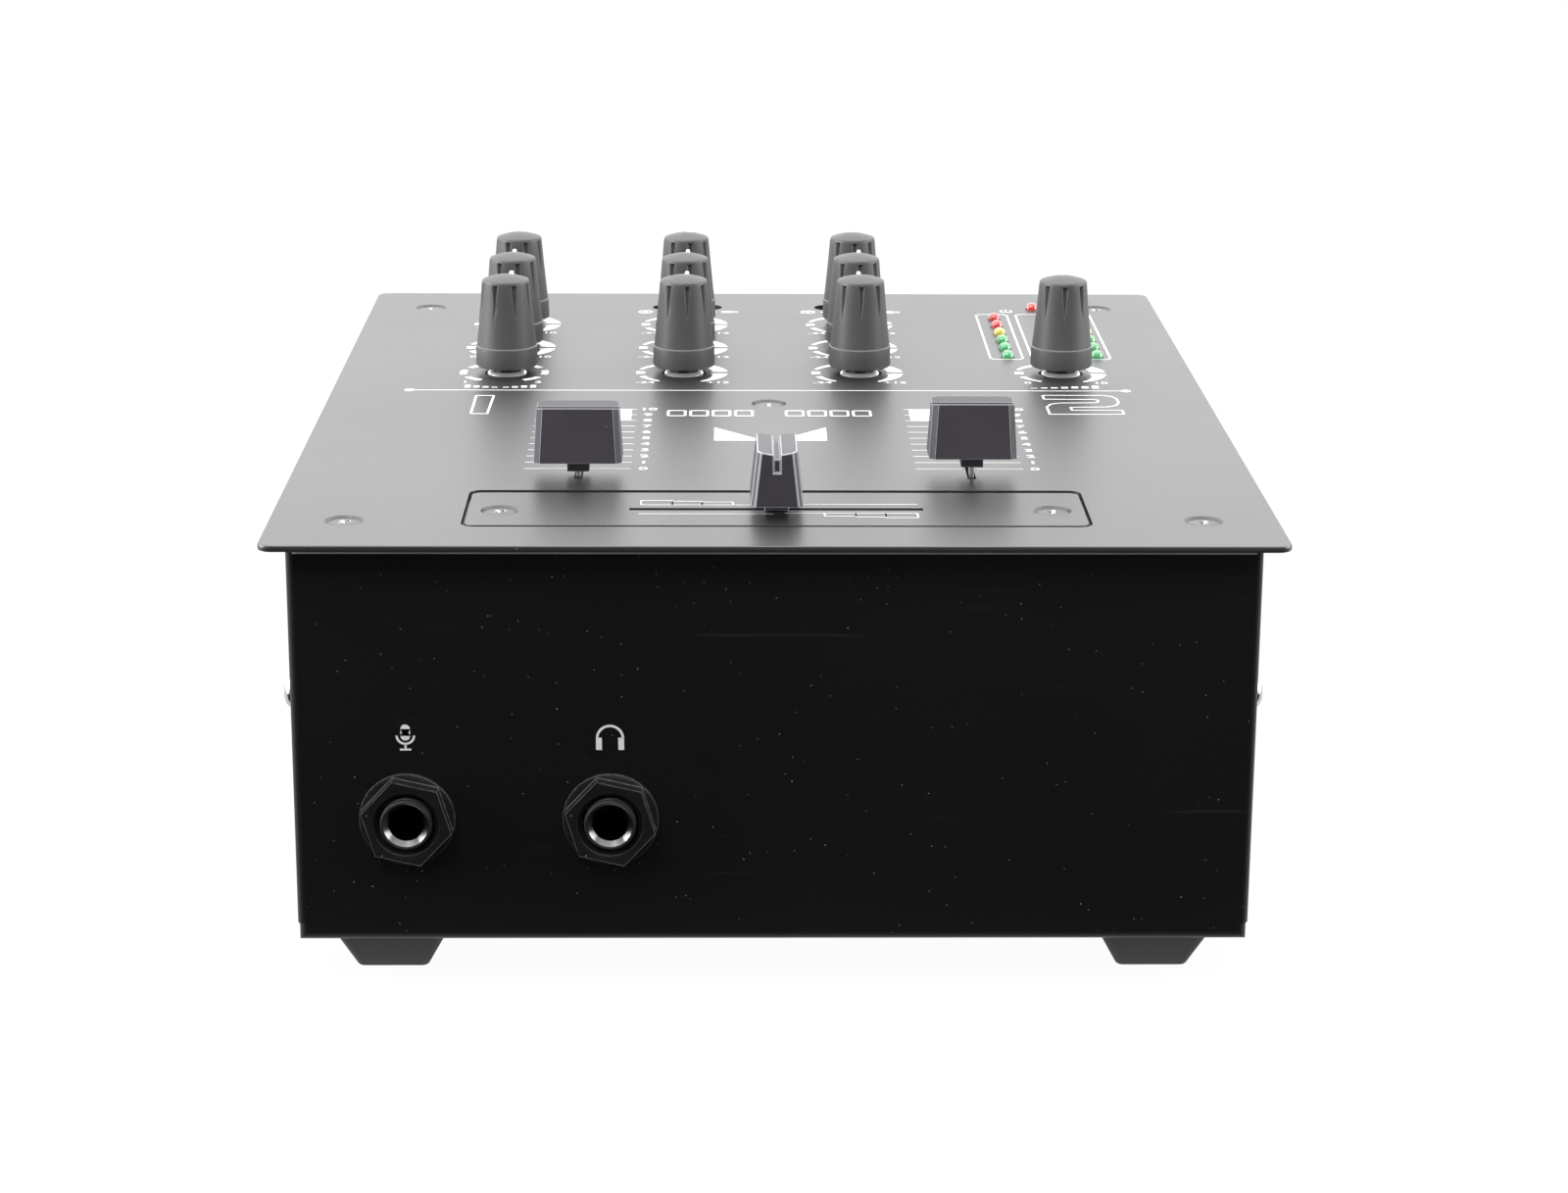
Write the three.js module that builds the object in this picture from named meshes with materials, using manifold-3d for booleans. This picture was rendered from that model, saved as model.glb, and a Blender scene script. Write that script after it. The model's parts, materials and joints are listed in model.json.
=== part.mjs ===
// A compact two-channel DJ mixer: a folded steel tray on four rubber feet, an overhanging control panel,
// ten rotary controls, two channel faders, a replaceable crossfader, two source selectors, two level meters,
// microphone and headphone jacks, and a rear board with phono sockets, power inlet and power rocker.
// Millimetres, +Z up, +X to the player's right, +Y away from the player.
// The origin is the centre of the plan outline on the surface that the feet stand on.

import * as THREE from "three";
import { mergeVertices } from "three/addons/utils/BufferGeometryUtils.js";
import Module from "manifold-3d";

const wasm = await Module();
wasm.setup();

// ---- Driving dimensions ----

const PANEL = { width: 180, depth: 225, thickness: 1.2, corner: 2.5 };
const OVERHANG = 4.3; // panel beyond the tray, on all four sides
const SOCKET_REACH = 5; // rear sockets beyond the panel's rear edge
const WALL = 1;
const BEND = 1.8; // outer radius of the tray's folds
const FOOT = { height: 8.7, top: 21.6, bottom: 12.8, corner: 1.3, inset: 16.1 };
const BODY_HEIGHT = 73.7; // tray, from its underside to the panel's underside
const CONTACT = 0.05; // paint and fit gap between touching pieces

const TRAY_WIDTH = PANEL.width - 2 * OVERHANG;
const TRAY_DEPTH = PANEL.depth - 2 * OVERHANG;
const PANEL_UNDER = FOOT.height + BODY_HEIGHT;
const PANEL_TOP = PANEL_UNDER + PANEL.thickness;
const PANEL_FRONT = -(PANEL.depth + SOCKET_REACH) / 2;
const PANEL_MIDDLE = PANEL_FRONT + PANEL.depth / 2;
const TRAY_FRONT = PANEL_FRONT + OVERHANG;
const TRAY_REAR = TRAY_FRONT + TRAY_DEPTH;
const fromFront = (distance) => PANEL_FRONT + distance;

// Rotary controls: column positions, and row distances from the panel's front edge.
const COLUMN = { cue: -54.9, one: -17.6, two: 19.5, master: 62.1 };
const ROW = { near: 139, middle: 164, far: 189 };
const KNOBS = [
  ["mic_level", COLUMN.cue, ROW.far],
  ["cue_level", COLUMN.cue, ROW.middle],
  ["cue_mix", COLUMN.cue, ROW.near],
  ["gain_1", COLUMN.one, ROW.far],
  ["treble_1", COLUMN.one, ROW.middle],
  ["bass_1", COLUMN.one, ROW.near],
  ["gain_2", COLUMN.two, ROW.far],
  ["treble_2", COLUMN.two, ROW.middle],
  ["bass_2", COLUMN.two, ROW.near],
  ["master_level", COLUMN.master, ROW.near],
];
const KNOB = { foot: 1.7, band: 5.8, rim: 20, crown: 21, skirt: 6.5, neck: 6.2, top: 4.95 };
const POT = { hole: 4.7, bush: 4.1, bore: 3.35, shaft: 3, proud: 0.55, case: 11 };

const CHANNEL_FADER = { one: -36.2, two: 37.2, middle: 80, travel: 59, slot: 64.6 };
const CROSSFADER = { x: 0.4, y: 25.8, travel: 45, slot: 53 };
const CROSS_PLATE = { width: 111, depth: 23.3, middle: 26.1, recess: 0.1, corner: 1.8 };
const PLATE_GAP = { sides: 0.6, ends: 1.35 }; // between the plate and the panel's opening, in X and in Y
const SLOT_WIDTH = 1.6;
const CAP = { height: 10.2, hang: 2.1 };
const CAP_LIFT = { one: 3.3, two: 4.2, cross: 2.3 };

const LED = { radius: 1.35, proud: 1.55, pitch: 8, count: 6, first: 155 };
const METER_X = { left: 52.1, right: 71.4 };
const POWER_LED = { x: 61.6, y: 206.8 };
const SELECTOR = { y: 208.7, window: 15.9, height: 6.2, travel: 4 };

const PANEL_SCREW = { x: 76.5, inset: 17.3, centre: 110.2 };
const PLATE_SCREW = { x: 49.7, y: 25 };
const SIDE_SCREW = { inset: 8, below: 30.5 };
const SCREW = { shank: 1.45, head: 2.85, sink: 0.75, length: 6, depth: 0.5 };
const PAN = { head: 2.75, height: 1.9 };

const JACK = { z: 32.1, mic: -65.4, phones: -29.2, bush: 4.7, bore: 3.175, proud: 3.8 };
const NUT = { flats: 14.5, washer: 8.6, washerThick: 0.6, thick: 3.1, mouth: 6, turn: 13 };

const BOARD_TOP = PANEL_TOP - 9.2;
const BOARD_THICK = 1.6;
const RCA = { radius: 4.15, columns: [-35, -21, -7, 7, 21, 35], rows: [29, 45] };
const INLET = { x: -64, z: 37 };
const ROCKER = { x: 65, z: 37, width: 19, height: 13, swing: 10 };
const GROUND = { x: 49, z: 37 };

// ---- Solids ----

// A closed geometry as a manifold-3d solid, turned the right way out.
function solid(geometry) {
  const bare = geometry.clone();
  bare.deleteAttribute("normal");
  bare.deleteAttribute("uv");
  const merged = mergeVertices(bare, 1e-4);
  const vertProperties = merged.getAttribute("position").array;
  const triVerts = new Uint32Array(merged.index.array);
  const made = new wasm.Manifold(new wasm.Mesh({ numProp: 3, vertProperties, triVerts }));
  if (made.volume() > 0) return made;
  triVerts.reverse();
  return new wasm.Manifold(new wasm.Mesh({ numProp: 3, vertProperties, triVerts }));
}

function geometryOf(made) {
  const mesh = made.getMesh();
  const geometry = new THREE.BufferGeometry();
  geometry.setAttribute("position", new THREE.BufferAttribute(mesh.vertProperties, 3));
  geometry.setIndex(new THREE.BufferAttribute(mesh.triVerts, 1));
  geometry.computeVertexNormals();
  return geometry;
}

const join = (first, ...rest) => rest.reduce((sum, piece) => sum.add(piece), first);
const cut = (first, ...rest) => rest.reduce((left, piece) => left.subtract(piece), first);

// A box centred on x and y, standing on z.
function box(width, depth, height, x, y, z) {
  return solid(new THREE.BoxGeometry(width, depth, height).translate(x, y, z + height / 2));
}

// An upright round bar standing on z.
function post(radius, height, x, y, z, sides = 16) {
  const bar = new THREE.CylinderGeometry(radius, radius, height, sides).rotateX(Math.PI / 2);
  return solid(bar.translate(x, y, z + height / 2));
}

// A round bar along Y, from one y to another, with an optional taper.
function barY(radius, from, to, x, z, sides = 16, endRadius = radius) {
  const bar = new THREE.CylinderGeometry(endRadius, radius, to - from, sides);
  return solid(bar.translate(x, (from + to) / 2, z));
}

// A profile of [radius, height] points turned about Z.
function turned(profile, sides = 16) {
  const points = profile.map(([radius, height]) => new THREE.Vector2(radius, height));
  return solid(new THREE.LatheGeometry(points, sides).rotateX(Math.PI / 2));
}

function roundedRectangle(width, depth, radius, x, y) {
  const [left, right, near, far] = [x - width / 2, x + width / 2, y - depth / 2, y + depth / 2];
  const shape = new THREE.Shape();
  shape.moveTo(left + radius, near);
  shape.lineTo(right - radius, near);
  shape.absarc(right - radius, near + radius, radius, -Math.PI / 2, 0);
  shape.lineTo(right, far - radius);
  shape.absarc(right - radius, far - radius, radius, 0, Math.PI / 2);
  shape.lineTo(left + radius, far);
  shape.absarc(left + radius, far - radius, radius, Math.PI / 2, Math.PI);
  shape.lineTo(left, near + radius);
  shape.absarc(left + radius, near + radius, radius, Math.PI, 1.5 * Math.PI);
  return shape;
}

function prism(shape, height, z, curveSegments = 4) {
  const settings = { depth: height, bevelEnabled: false, curveSegments };
  return solid(new THREE.ExtrudeGeometry(shape, settings).translate(0, 0, z));
}

function slab(width, depth, radius, height, x, y, z) {
  return prism(roundedRectangle(width, depth, radius, x, y), height, z);
}

// A section drawn in the YZ plane and drawn out along X, centred on x = 0.
const SECTION_ACROSS_X = new THREE.Matrix4().makeBasis(
  new THREE.Vector3(0, 1, 0), new THREE.Vector3(0, 0, 1), new THREE.Vector3(1, 0, 0));

function drawnAlongX(section, length) {
  const settings = { depth: length, bevelEnabled: false, curveSegments: 4 };
  const drawn = new THREE.ExtrudeGeometry(section, settings).translate(0, 0, -length / 2);
  return solid(drawn.applyMatrix4(SECTION_ACROSS_X));
}

const outline = (points) => new THREE.Shape(points.map(([y, z]) => new THREE.Vector2(y, z)));

// ---- Assembly ----

const mixer = new THREE.Group();

const PAINT = { color: 0x17181a, roughness: 0.35, metalness: 0.1 };
const BLACK_STEEL = { color: 0x1a1a1c, roughness: 0.4, metalness: 0.6 };
const NICKEL = { color: 0xb8b8ba, roughness: 0.25, metalness: 1 };
const RUBBER = { color: 0x19191a, roughness: 0.9, metalness: 0 };
const SOFT_GREY = { color: 0x4c4d4f, roughness: 0.6, metalness: 0 };
const CAP_BLACK = { color: 0x2c2b30, roughness: 0.55, metalness: 0 };
const PLASTIC = { color: 0x101012, roughness: 0.45, metalness: 0 };
const BOARD_GREEN = { color: 0x1f4a2c, roughness: 0.5, metalness: 0 };
const LENS_GREEN = { color: 0x49c46a, roughness: 0.15, metalness: 0 };
const LENS_RED = { color: 0xd83028, roughness: 0.15, metalness: 0 };

function place(name, made, finish, position = [0, 0, 0], rotation = [0, 0, 0]) {
  const mesh = new THREE.Mesh(geometryOf(made), new THREE.MeshStandardMaterial(finish));
  mesh.name = name;
  mesh.position.set(...position);
  mesh.rotation.set(...rotation);
  mixer.add(mesh);
}

// ---- Where things stand on the panel and the tray ----

const meterSpots = (x) =>
  Array.from({ length: LED.count }, (_, i) => [x, fromFront(LED.first + i * LED.pitch)]);
const ledSpots = [
  ...meterSpots(METER_X.left),
  ...meterSpots(METER_X.right),
  [POWER_LED.x, fromFront(POWER_LED.y)],
];
const selectorY = fromFront(SELECTOR.y);
const channelY = fromFront(CHANNEL_FADER.middle);
const crossY = fromFront(CROSSFADER.y);
const plateY = fromFront(CROSS_PLATE.middle);
const plateScrewY = fromFront(PLATE_SCREW.y);
const plateScrewXs = [CROSSFADER.x - PLATE_SCREW.x, CROSSFADER.x + PLATE_SCREW.x];
const plateTop = PANEL_TOP - CROSS_PLATE.recess;
const plateUnder = plateTop - PANEL.thickness;
const screwNear = fromFront(PANEL_SCREW.inset);
const screwFar = fromFront(PANEL.depth - PANEL_SCREW.inset);
const pillarY = fromFront(PANEL_SCREW.centre);
const panelScrews = {
  front_left: [-PANEL_SCREW.x, screwNear],
  front_right: [PANEL_SCREW.x, screwNear],
  rear_left: [-PANEL_SCREW.x, screwFar],
  rear_right: [PANEL_SCREW.x, screwFar],
  centre: [0, pillarY],
};

// A dimpled clearance hole whose mouth is at z, in which the screw's head sits below the surface.
function dimple(x, y, z) {
  const [mouth, seat, hole] = [SCREW.head + 0.75, SCREW.head + 0.15, SCREW.shank + 0.4];
  const profile = [[0, 0.5], [mouth, 0.5], [mouth, 0], [seat, -SCREW.depth - 0.1],
    [hole, -SCREW.depth - SCREW.sink], [hole, -4], [0, -4]];
  return turned(profile).translate([x, y, z]);
}

// ---- Top panel: a flat sheet with ledges below its front opening, which carry the crossfader plate ----

function topPanel() {
  let sheet = slab(PANEL.width, PANEL.depth, PANEL.corner, PANEL.thickness, 0, PANEL_MIDDLE, PANEL_UNDER);
  const ledge = { width: 20, depth: 35, drop: 1.6 };
  for (const side of [-1, 1]) {
    const x = CROSSFADER.x + side * (CROSS_PLATE.width / 2 - 1);
    sheet = sheet.add(box(ledge.width, ledge.depth, ledge.drop + 0.1, x, plateY, PANEL_UNDER - ledge.drop));
  }
  const openWidth = CROSS_PLATE.width + 2 * PLATE_GAP.sides;
  const openDepth = CROSS_PLATE.depth + 2 * PLATE_GAP.ends;
  const openRadius = CROSS_PLATE.corner + PLATE_GAP.sides;
  const openFloor = plateUnder - CONTACT;
  sheet = sheet.subtract(slab(openWidth, openDepth, openRadius, 5, CROSSFADER.x, plateY, openFloor));
  for (const x of plateScrewXs) {
    sheet = sheet.subtract(post(SCREW.shank + 0.55, 8, x, plateScrewY, PANEL_UNDER - 4));
  }
  for (const x of [CHANNEL_FADER.one, CHANNEL_FADER.two]) {
    sheet = sheet.subtract(box(SLOT_WIDTH, CHANNEL_FADER.slot, 4, x, channelY, PANEL_UNDER - 1));
  }
  for (const [, x, distance] of KNOBS) {
    sheet = sheet.subtract(post(POT.hole, 4, x, fromFront(distance), PANEL_UNDER - 1, 24));
  }
  for (const [x, y] of ledSpots) {
    sheet = sheet.subtract(post(LED.radius + 0.2, 4, x, y, PANEL_UNDER - 1, 12));
  }
  for (const x of [COLUMN.one, COLUMN.two]) {
    const radius = SELECTOR.height / 2 - 0.01;
    sheet = sheet.subtract(slab(SELECTOR.window, SELECTOR.height, radius, 4, x, selectorY, PANEL_UNDER - 1));
  }
  for (const [x, y] of Object.values(panelScrews)) {
    sheet = sheet.subtract(dimple(x, y, PANEL_TOP));
  }
  return sheet;
}

// ---- Tray: one folded sheet. The end walls' flanges wrap the side walls and stand a little proud ----

const FLANGE = { length: 15, proud: 0.3, start: 3.2 };

// A solid block with the tray's outline, pulled in by the given amount, with its folds rounded.
function trayBlock(inset, radius, floor, top) {
  const width = TRAY_WIDTH - 2 * FLANGE.proud - 2 * inset;
  const depth = TRAY_DEPTH - 2 * inset;
  const height = top - floor;
  const middle = (TRAY_FRONT + TRAY_REAR) / 2;
  const upright = slab(width, depth, radius, height, 0, middle, floor);
  const side = new THREE.Shape();
  const [near, far] = [TRAY_FRONT + inset, TRAY_REAR - inset];
  side.moveTo(near, top);
  side.lineTo(near, floor + radius);
  side.absarc(near + radius, floor + radius, radius, Math.PI, 1.5 * Math.PI);
  side.lineTo(far - radius, floor);
  side.absarc(far - radius, floor + radius, radius, -Math.PI / 2, 0);
  side.lineTo(far, top);
  return upright.intersect(drawnAlongX(side, width));
}

function chassisTray() {
  const floor = FOOT.height;
  const top = PANEL_UNDER - CONTACT;
  let tray = cut(trayBlock(0, BEND, floor, top), trayBlock(WALL, BEND - WALL, floor + WALL, top + 1));
  const flangeFloor = floor + FLANGE.start;
  const wrap = slab(TRAY_WIDTH, TRAY_DEPTH, BEND, top - flangeFloor, 0, PANEL_MIDDLE, flangeFloor);
  const sideLength = TRAY_DEPTH - 2 * FLANGE.length;
  const middleGap = box(TRAY_WIDTH + 2, sideLength, BODY_HEIGHT, 0, PANEL_MIDDLE, flangeFloor - 1);
  const hollow = box(TRAY_WIDTH - 2 * WALL, TRAY_DEPTH - 2 * WALL, BODY_HEIGHT + 2, 0, PANEL_MIDDLE, floor);
  tray = tray.add(cut(wrap, middleGap, hollow));
  const tab = { width: 17, depth: 19 };
  for (const [x, y] of Object.values(panelScrews).slice(0, 4)) {
    const wallX = Math.sign(x) * (TRAY_WIDTH / 2 - WALL - tab.width / 2);
    const wallY = y < 0 ? TRAY_FRONT + WALL / 2 + tab.depth / 2 : TRAY_REAR - WALL / 2 - tab.depth / 2;
    tray = tray.add(box(tab.width, tab.depth, WALL, wallX, wallY, top - WALL));
    tray = tray.subtract(post(SCREW.shank + 0.55, 4, x, y, top - 3));
  }
  tray = tray.add(post(3.5, top - floor - WALL / 2, 0, pillarY, floor + WALL / 2));
  tray = tray.subtract(post(SCREW.shank + 0.55, 12, 0, pillarY, top - 10));
  for (const x of [JACK.mic, JACK.phones]) {
    tray = tray.subtract(barY(JACK.bush + 0.3, TRAY_FRONT - 2, TRAY_FRONT + 2, x, JACK.z));
  }
  for (const [x, y, z] of Object.values(sideScrews)) {
    const bar = new THREE.CylinderGeometry(SCREW.shank + 0.2, SCREW.shank + 0.2, 6, 12).rotateZ(Math.PI / 2);
    tray = tray.subtract(solid(bar.translate(x, y, z)));
  }
  for (const x of RCA.columns) {
    for (const z of RCA.rows) {
      tray = tray.subtract(barY(RCA.radius + 0.4, TRAY_REAR - 3, TRAY_REAR + 2, x, z));
    }
  }
  const rearBox = (width, height, x, z) => box(width, 4, height, x, TRAY_REAR, z - height / 2);
  return cut(
    tray,
    barY(5.5, TRAY_REAR - 3, TRAY_REAR + 2, INLET.x, INLET.z),
    rearBox(ROCKER.width + 0.6, ROCKER.height + 0.6, ROCKER.x, ROCKER.z),
    barY(2.3, TRAY_REAR - 3, TRAY_REAR + 2, GROUND.x, GROUND.z, 12),
  );
}

const sideZ = PANEL_TOP - SIDE_SCREW.below;
const sideScrews = {
  front_left: [-TRAY_WIDTH / 2, TRAY_FRONT + SIDE_SCREW.inset, sideZ],
  front_right: [TRAY_WIDTH / 2, TRAY_FRONT + SIDE_SCREW.inset, sideZ],
  rear_left: [-TRAY_WIDTH / 2, TRAY_REAR - SIDE_SCREW.inset, sideZ],
  rear_right: [TRAY_WIDTH / 2, TRAY_REAR - SIDE_SCREW.inset, sideZ],
};

// ---- Crossfader plate: a small sheet that sits recessed in the panel's opening ----

function crossfaderPlate() {
  const { width, depth, corner } = CROSS_PLATE;
  const middle = CROSSFADER.x;
  let plate = slab(width, depth, corner, PANEL.thickness, middle, plateY, plateUnder);
  plate = plate.subtract(box(CROSSFADER.slot, SLOT_WIDTH, 4, middle, crossY, plateUnder - 1));
  for (const x of plateScrewXs) {
    plate = plate.subtract(dimple(x, plateScrewY, plateTop));
  }
  return plate;
}

// ---- Fasteners, modelled head up with the head's seat at z = 0 ----

const crossRecess = (top, depth) =>
  join(box(3, 0.8, depth + 1, 0, 0, top - depth), box(0.8, 3, depth + 1, 0, 0, top - depth));

function countersunkScrew() {
  const { head, sink, shank, length } = SCREW;
  const profile = [[0, 0], [head, 0], [head, -0.15], [shank, -sink], [shank, -length], [0, -length]];
  return turned(profile, 14).subtract(crossRecess(0, 0.9));
}

function panScrew() {
  const { head, height } = PAN;
  const { shank, length } = SCREW;
  const profile = [[0, height], [head * 0.55, height * 0.9], [head * 0.88, height * 0.55], [head, 0.1],
    [head, 0], [shank, 0], [shank, -length], [0, -length]];
  return turned(profile, 12).subtract(crossRecess(height, 1.1));
}

// ---- Feet: square blocks that taper downwards ----

function foot() {
  const { height, top, bottom, corner } = FOOT;
  const grow = (top - bottom) / 2;
  const blank = roundedRectangle(bottom, bottom, corner, 0, 0);
  const block = new THREE.ExtrudeGeometry(blank, { depth: height, bevelEnabled: false, curveSegments: 4 });
  const spots = block.getAttribute("position");
  for (let i = 0; i < spots.count; i++) {
    const scale = 1 + (grow / (bottom / 2)) * (spots.getZ(i) / height);
    spots.setXY(i, spots.getX(i) * scale, spots.getY(i) * scale);
  }
  return solid(block);
}

// ---- Knob: fluted above, with a plain skirt below a raised band, and a bore that grips the shaft ----

const FLUTES = 8;
const FLUTE_HALF = THREE.MathUtils.degToRad(6);
const FLUTE_DEPTH = 0.6;
const FLUTE_START = 12.2; // height above the panel where the flutes run out

// Stacks rings of points between two points on the axis. Each ring dips inwards at its flutes.
function fluted(rings, bottomZ, topZ) {
  const step = (2 * Math.PI) / FLUTES;
  const corners = [];
  for (let flute = 0; flute < FLUTES; flute++) {
    const angle = (flute + 0.5) * step;
    corners.push([angle - FLUTE_HALF, 0], [angle, 1], [angle + FLUTE_HALF, 0], [angle + step / 2, 0]);
  }
  const around = corners.length;
  const positions = [0, 0, bottomZ];
  for (const { z, radius, dip = 0 } of rings) {
    for (const [angle, inFlute] of corners) {
      const reach = radius - dip * inFlute;
      positions.push(reach * Math.cos(angle), reach * Math.sin(angle), z);
    }
  }
  positions.push(0, 0, topZ);
  const last = positions.length / 3 - 1;
  const at = (ring, corner) => 1 + ring * around + (corner % around);
  const index = [];
  for (let corner = 0; corner < around; corner++) {
    index.push(0, at(0, corner + 1), at(0, corner));
    for (let ring = 0; ring < rings.length - 1; ring++) {
      const [a, b] = [at(ring, corner), at(ring, corner + 1)];
      const [c, d] = [at(ring + 1, corner), at(ring + 1, corner + 1)];
      index.push(a, b, d, a, d, c);
    }
    index.push(at(rings.length - 1, corner), at(rings.length - 1, corner + 1), last);
  }
  const geometry = new THREE.BufferGeometry();
  geometry.setAttribute("position", new THREE.Float32BufferAttribute(positions, 3));
  geometry.setIndex(index);
  return solid(geometry);
}

function knob() {
  const { foot: base, band, rim, crown, skirt, neck, top } = KNOB;
  const outside = fluted([
    { z: base, radius: skirt - 0.4 },
    { z: base + 0.4, radius: skirt },
    { z: band, radius: skirt - 0.08 },
    { z: band + 0.35, radius: neck + 0.05 },
    { z: FLUTE_START, radius: neck - 0.62 },
    { z: rim - 0.4, radius: top, dip: FLUTE_DEPTH },
    { z: rim, radius: top - 0.35, dip: FLUTE_DEPTH },
  ], base, crown);
  return outside.subtract(post(POT.shaft + 0.2, 13, 0, 0, base - 0.5));
}

const SHAFT = { foot: -8, top: 13.5 }; // relative to the panel's top face
const shaft = () => post(POT.shaft, SHAFT.top - SHAFT.foot, 0, 0, SHAFT.foot);

// ---- Fader cap: long across its travel, chamfered corners, a shallow valley and a centre groove on top ----
// Modelled with its travel along Y and its skirt's lower edge at z = 0.

function capBlock(shrink, height) {
  const chamfered = (halfLength, halfWidth) => {
    const [short, narrow] = [halfLength - 1.1, halfWidth - 0.8];
    const end = [[short, -halfWidth], [halfLength, -narrow], [halfLength, narrow], [short, halfWidth]];
    return [...end, ...end.map(([x, y]) => [-x, -y])];
  };
  const low = chamfered(8.2 - shrink, 4.75 - shrink);
  const high = chamfered(7.6 - shrink, 3.6 - shrink);
  const around = low.length;
  const ring = (corners, z) => corners.flatMap(([x, y]) => [x, y, z]);
  const positions = [...ring(low, 0), ...ring(high, height), 0, 0, 0, 0, 0, height];
  const index = [];
  for (let i = 0; i < around; i++) {
    const next = (i + 1) % around;
    index.push(i, next, around + next, i, around + next, around + i);
    index.push(2 * around, next, i, 2 * around + 1, around + i, around + next);
  }
  const geometry = new THREE.BufferGeometry();
  geometry.setAttribute("position", new THREE.Float32BufferAttribute(positions, 3));
  geometry.setIndex(index);
  return solid(geometry);
}

function faderCap() {
  const { height, hang } = CAP;
  const valley = [[-3.8, height], [0, height - 0.7], [3.8, height], [3.8, height + 2], [-3.8, height + 2]];
  const dish = drawnAlongX(outline(valley), 20);
  const shell = cut(
    capBlock(0, height),
    capBlock(1.3, height - 2.2).translate([0, 0, -0.5]),
    dish,
    box(20, 1.2, 3, 0, 0, height - 1.5),
    box(2, 1.2, 5, 8.3, 0, height - 3.9),
    box(2, 1.2, 5, -8.3, 0, height - 3.9),
  );
  const boss = box(4.1, 4.4, height - 2 + hang, 0, 0, -hang);
  const socket = box(1.5, 3.5, height - 2.6 + hang, 0, 0, -hang - 0.5);
  return cut(join(shell, boss), socket);
}

// ---- Fader: an open-topped housing, and a carriage with a blade that rises through the slot ----
// Both are modelled with the travel along Y, at mid-travel, with z = 0 at the housing's underside.

const FADER = { width: 10, height: 7, wall: 1, spare: 10, carriage: 10, blade: [0.9, 3.1] };

function faderHousing(travel) {
  const { width, height, wall, spare, carriage } = FADER;
  const inside = travel + carriage + 2;
  return cut(
    box(width, inside + spare, height, 0, 0, 0),
    box(width - 2 * wall, inside, height - 2 * wall, 0, 0, wall),
    box(2.4, travel + 6, height, 0, 0, wall),
  );
}

// reach is the height of the blade's tip above the housing's underside.
function faderLever(reach) {
  const { width, wall, carriage, blade } = FADER;
  const seat = wall + 0.5;
  return join(
    box(width - 2 * wall - 1, carriage, 3.4, 0, 0, seat),
    box(blade[0], blade[1], reach - seat - 1, 0, 0, seat + 1),
  );
}

// ---- Source selector slider: a thumb piece on a thin foot plate ----

const selectorSlider = () =>
  join(box(11, 6.4, 1, 0, 0, -2), box(4.5, 4.6, 3.6, 0, 0, -1.2));

// ---- Level meters and the power lamp: domed lenses on a carrier that stands on the board ----

function lens(x, y) {
  const { radius, proud } = LED;
  const dome = [[0, 0], [radius, 0]];
  const springing = PANEL_TOP + proud - radius - BOARD_TOP;
  for (let step = 0; step <= 3; step++) {
    const angle = (step / 3) * (Math.PI / 2);
    dome.push([step === 3 ? 0 : radius * Math.cos(angle), springing + radius * Math.sin(angle)]);
  }
  return turned(dome, 12).translate([x, y, BOARD_TOP]);
}

function meter(x) {
  const length = LED.pitch * LED.count;
  const middle = fromFront(LED.first + (LED.pitch * (LED.count - 1)) / 2);
  const carrier = box(5, length, 5.6, x, middle, BOARD_TOP + CONTACT);
  const lift = [0, 0, CONTACT];
  return join(carrier, ...meterSpots(x).map(([ledX, ledY]) => lens(ledX, ledY).translate(lift)));
}

function powerLamp() {
  const y = fromFront(POWER_LED.y);
  const carrier = box(5, 5, 5.6, POWER_LED.x, y, BOARD_TOP + CONTACT);
  return join(carrier, lens(POWER_LED.x, y).translate([0, 0, CONTACT]));
}

// ---- Control board: a circuit board with the soldered potentiometer cases and selector cases ----

function controlBoard() {
  const near = fromFront(38);
  const far = fromFront(216);
  let board = box(164, far - near, BOARD_THICK, 0, (near + far) / 2, BOARD_TOP - BOARD_THICK);
  const caseTop = PANEL_UNDER - 1.2;
  for (const [, x, distance] of KNOBS) {
    const y = fromFront(distance);
    board = join(
      board,
      box(POT.case, POT.case, caseTop - BOARD_TOP + 0.5, x, y, BOARD_TOP - 0.5),
      post(POT.bush, PANEL_TOP + POT.proud - caseTop + 0.5, x, y, caseTop - 0.5),
    );
  }
  for (const [, x, distance] of KNOBS) {
    board = board.subtract(post(POT.bore, 12, x, fromFront(distance), PANEL_TOP + SHAFT.foot - 0.4));
  }
  for (const x of [COLUMN.one, COLUMN.two]) {
    const height = PANEL_UNDER - 0.3 - BOARD_TOP;
    board = board.add(box(18, 10, height + 0.5, x, selectorY, BOARD_TOP - 0.5));
    board = board.subtract(box(16.4, 7.4, height, x, selectorY, BOARD_TOP + height - 2.6));
  }
  const spacerTop = PANEL_UNDER - CONTACT;
  for (const x of [-70, 70]) {
    for (const distance of [46, 122]) {
      board = board.add(box(6, 6, spacerTop - BOARD_TOP + 0.5, x, fromFront(distance), BOARD_TOP - 0.5));
    }
  }
  return board.subtract(post(5, 10, 0, pillarY, BOARD_TOP - 5));
}

// ---- Rear board: an upright circuit board with the phono sockets, the power inlet and the switch case ----

const REAR_BOARD_Y = TRAY_REAR - 16;

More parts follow.
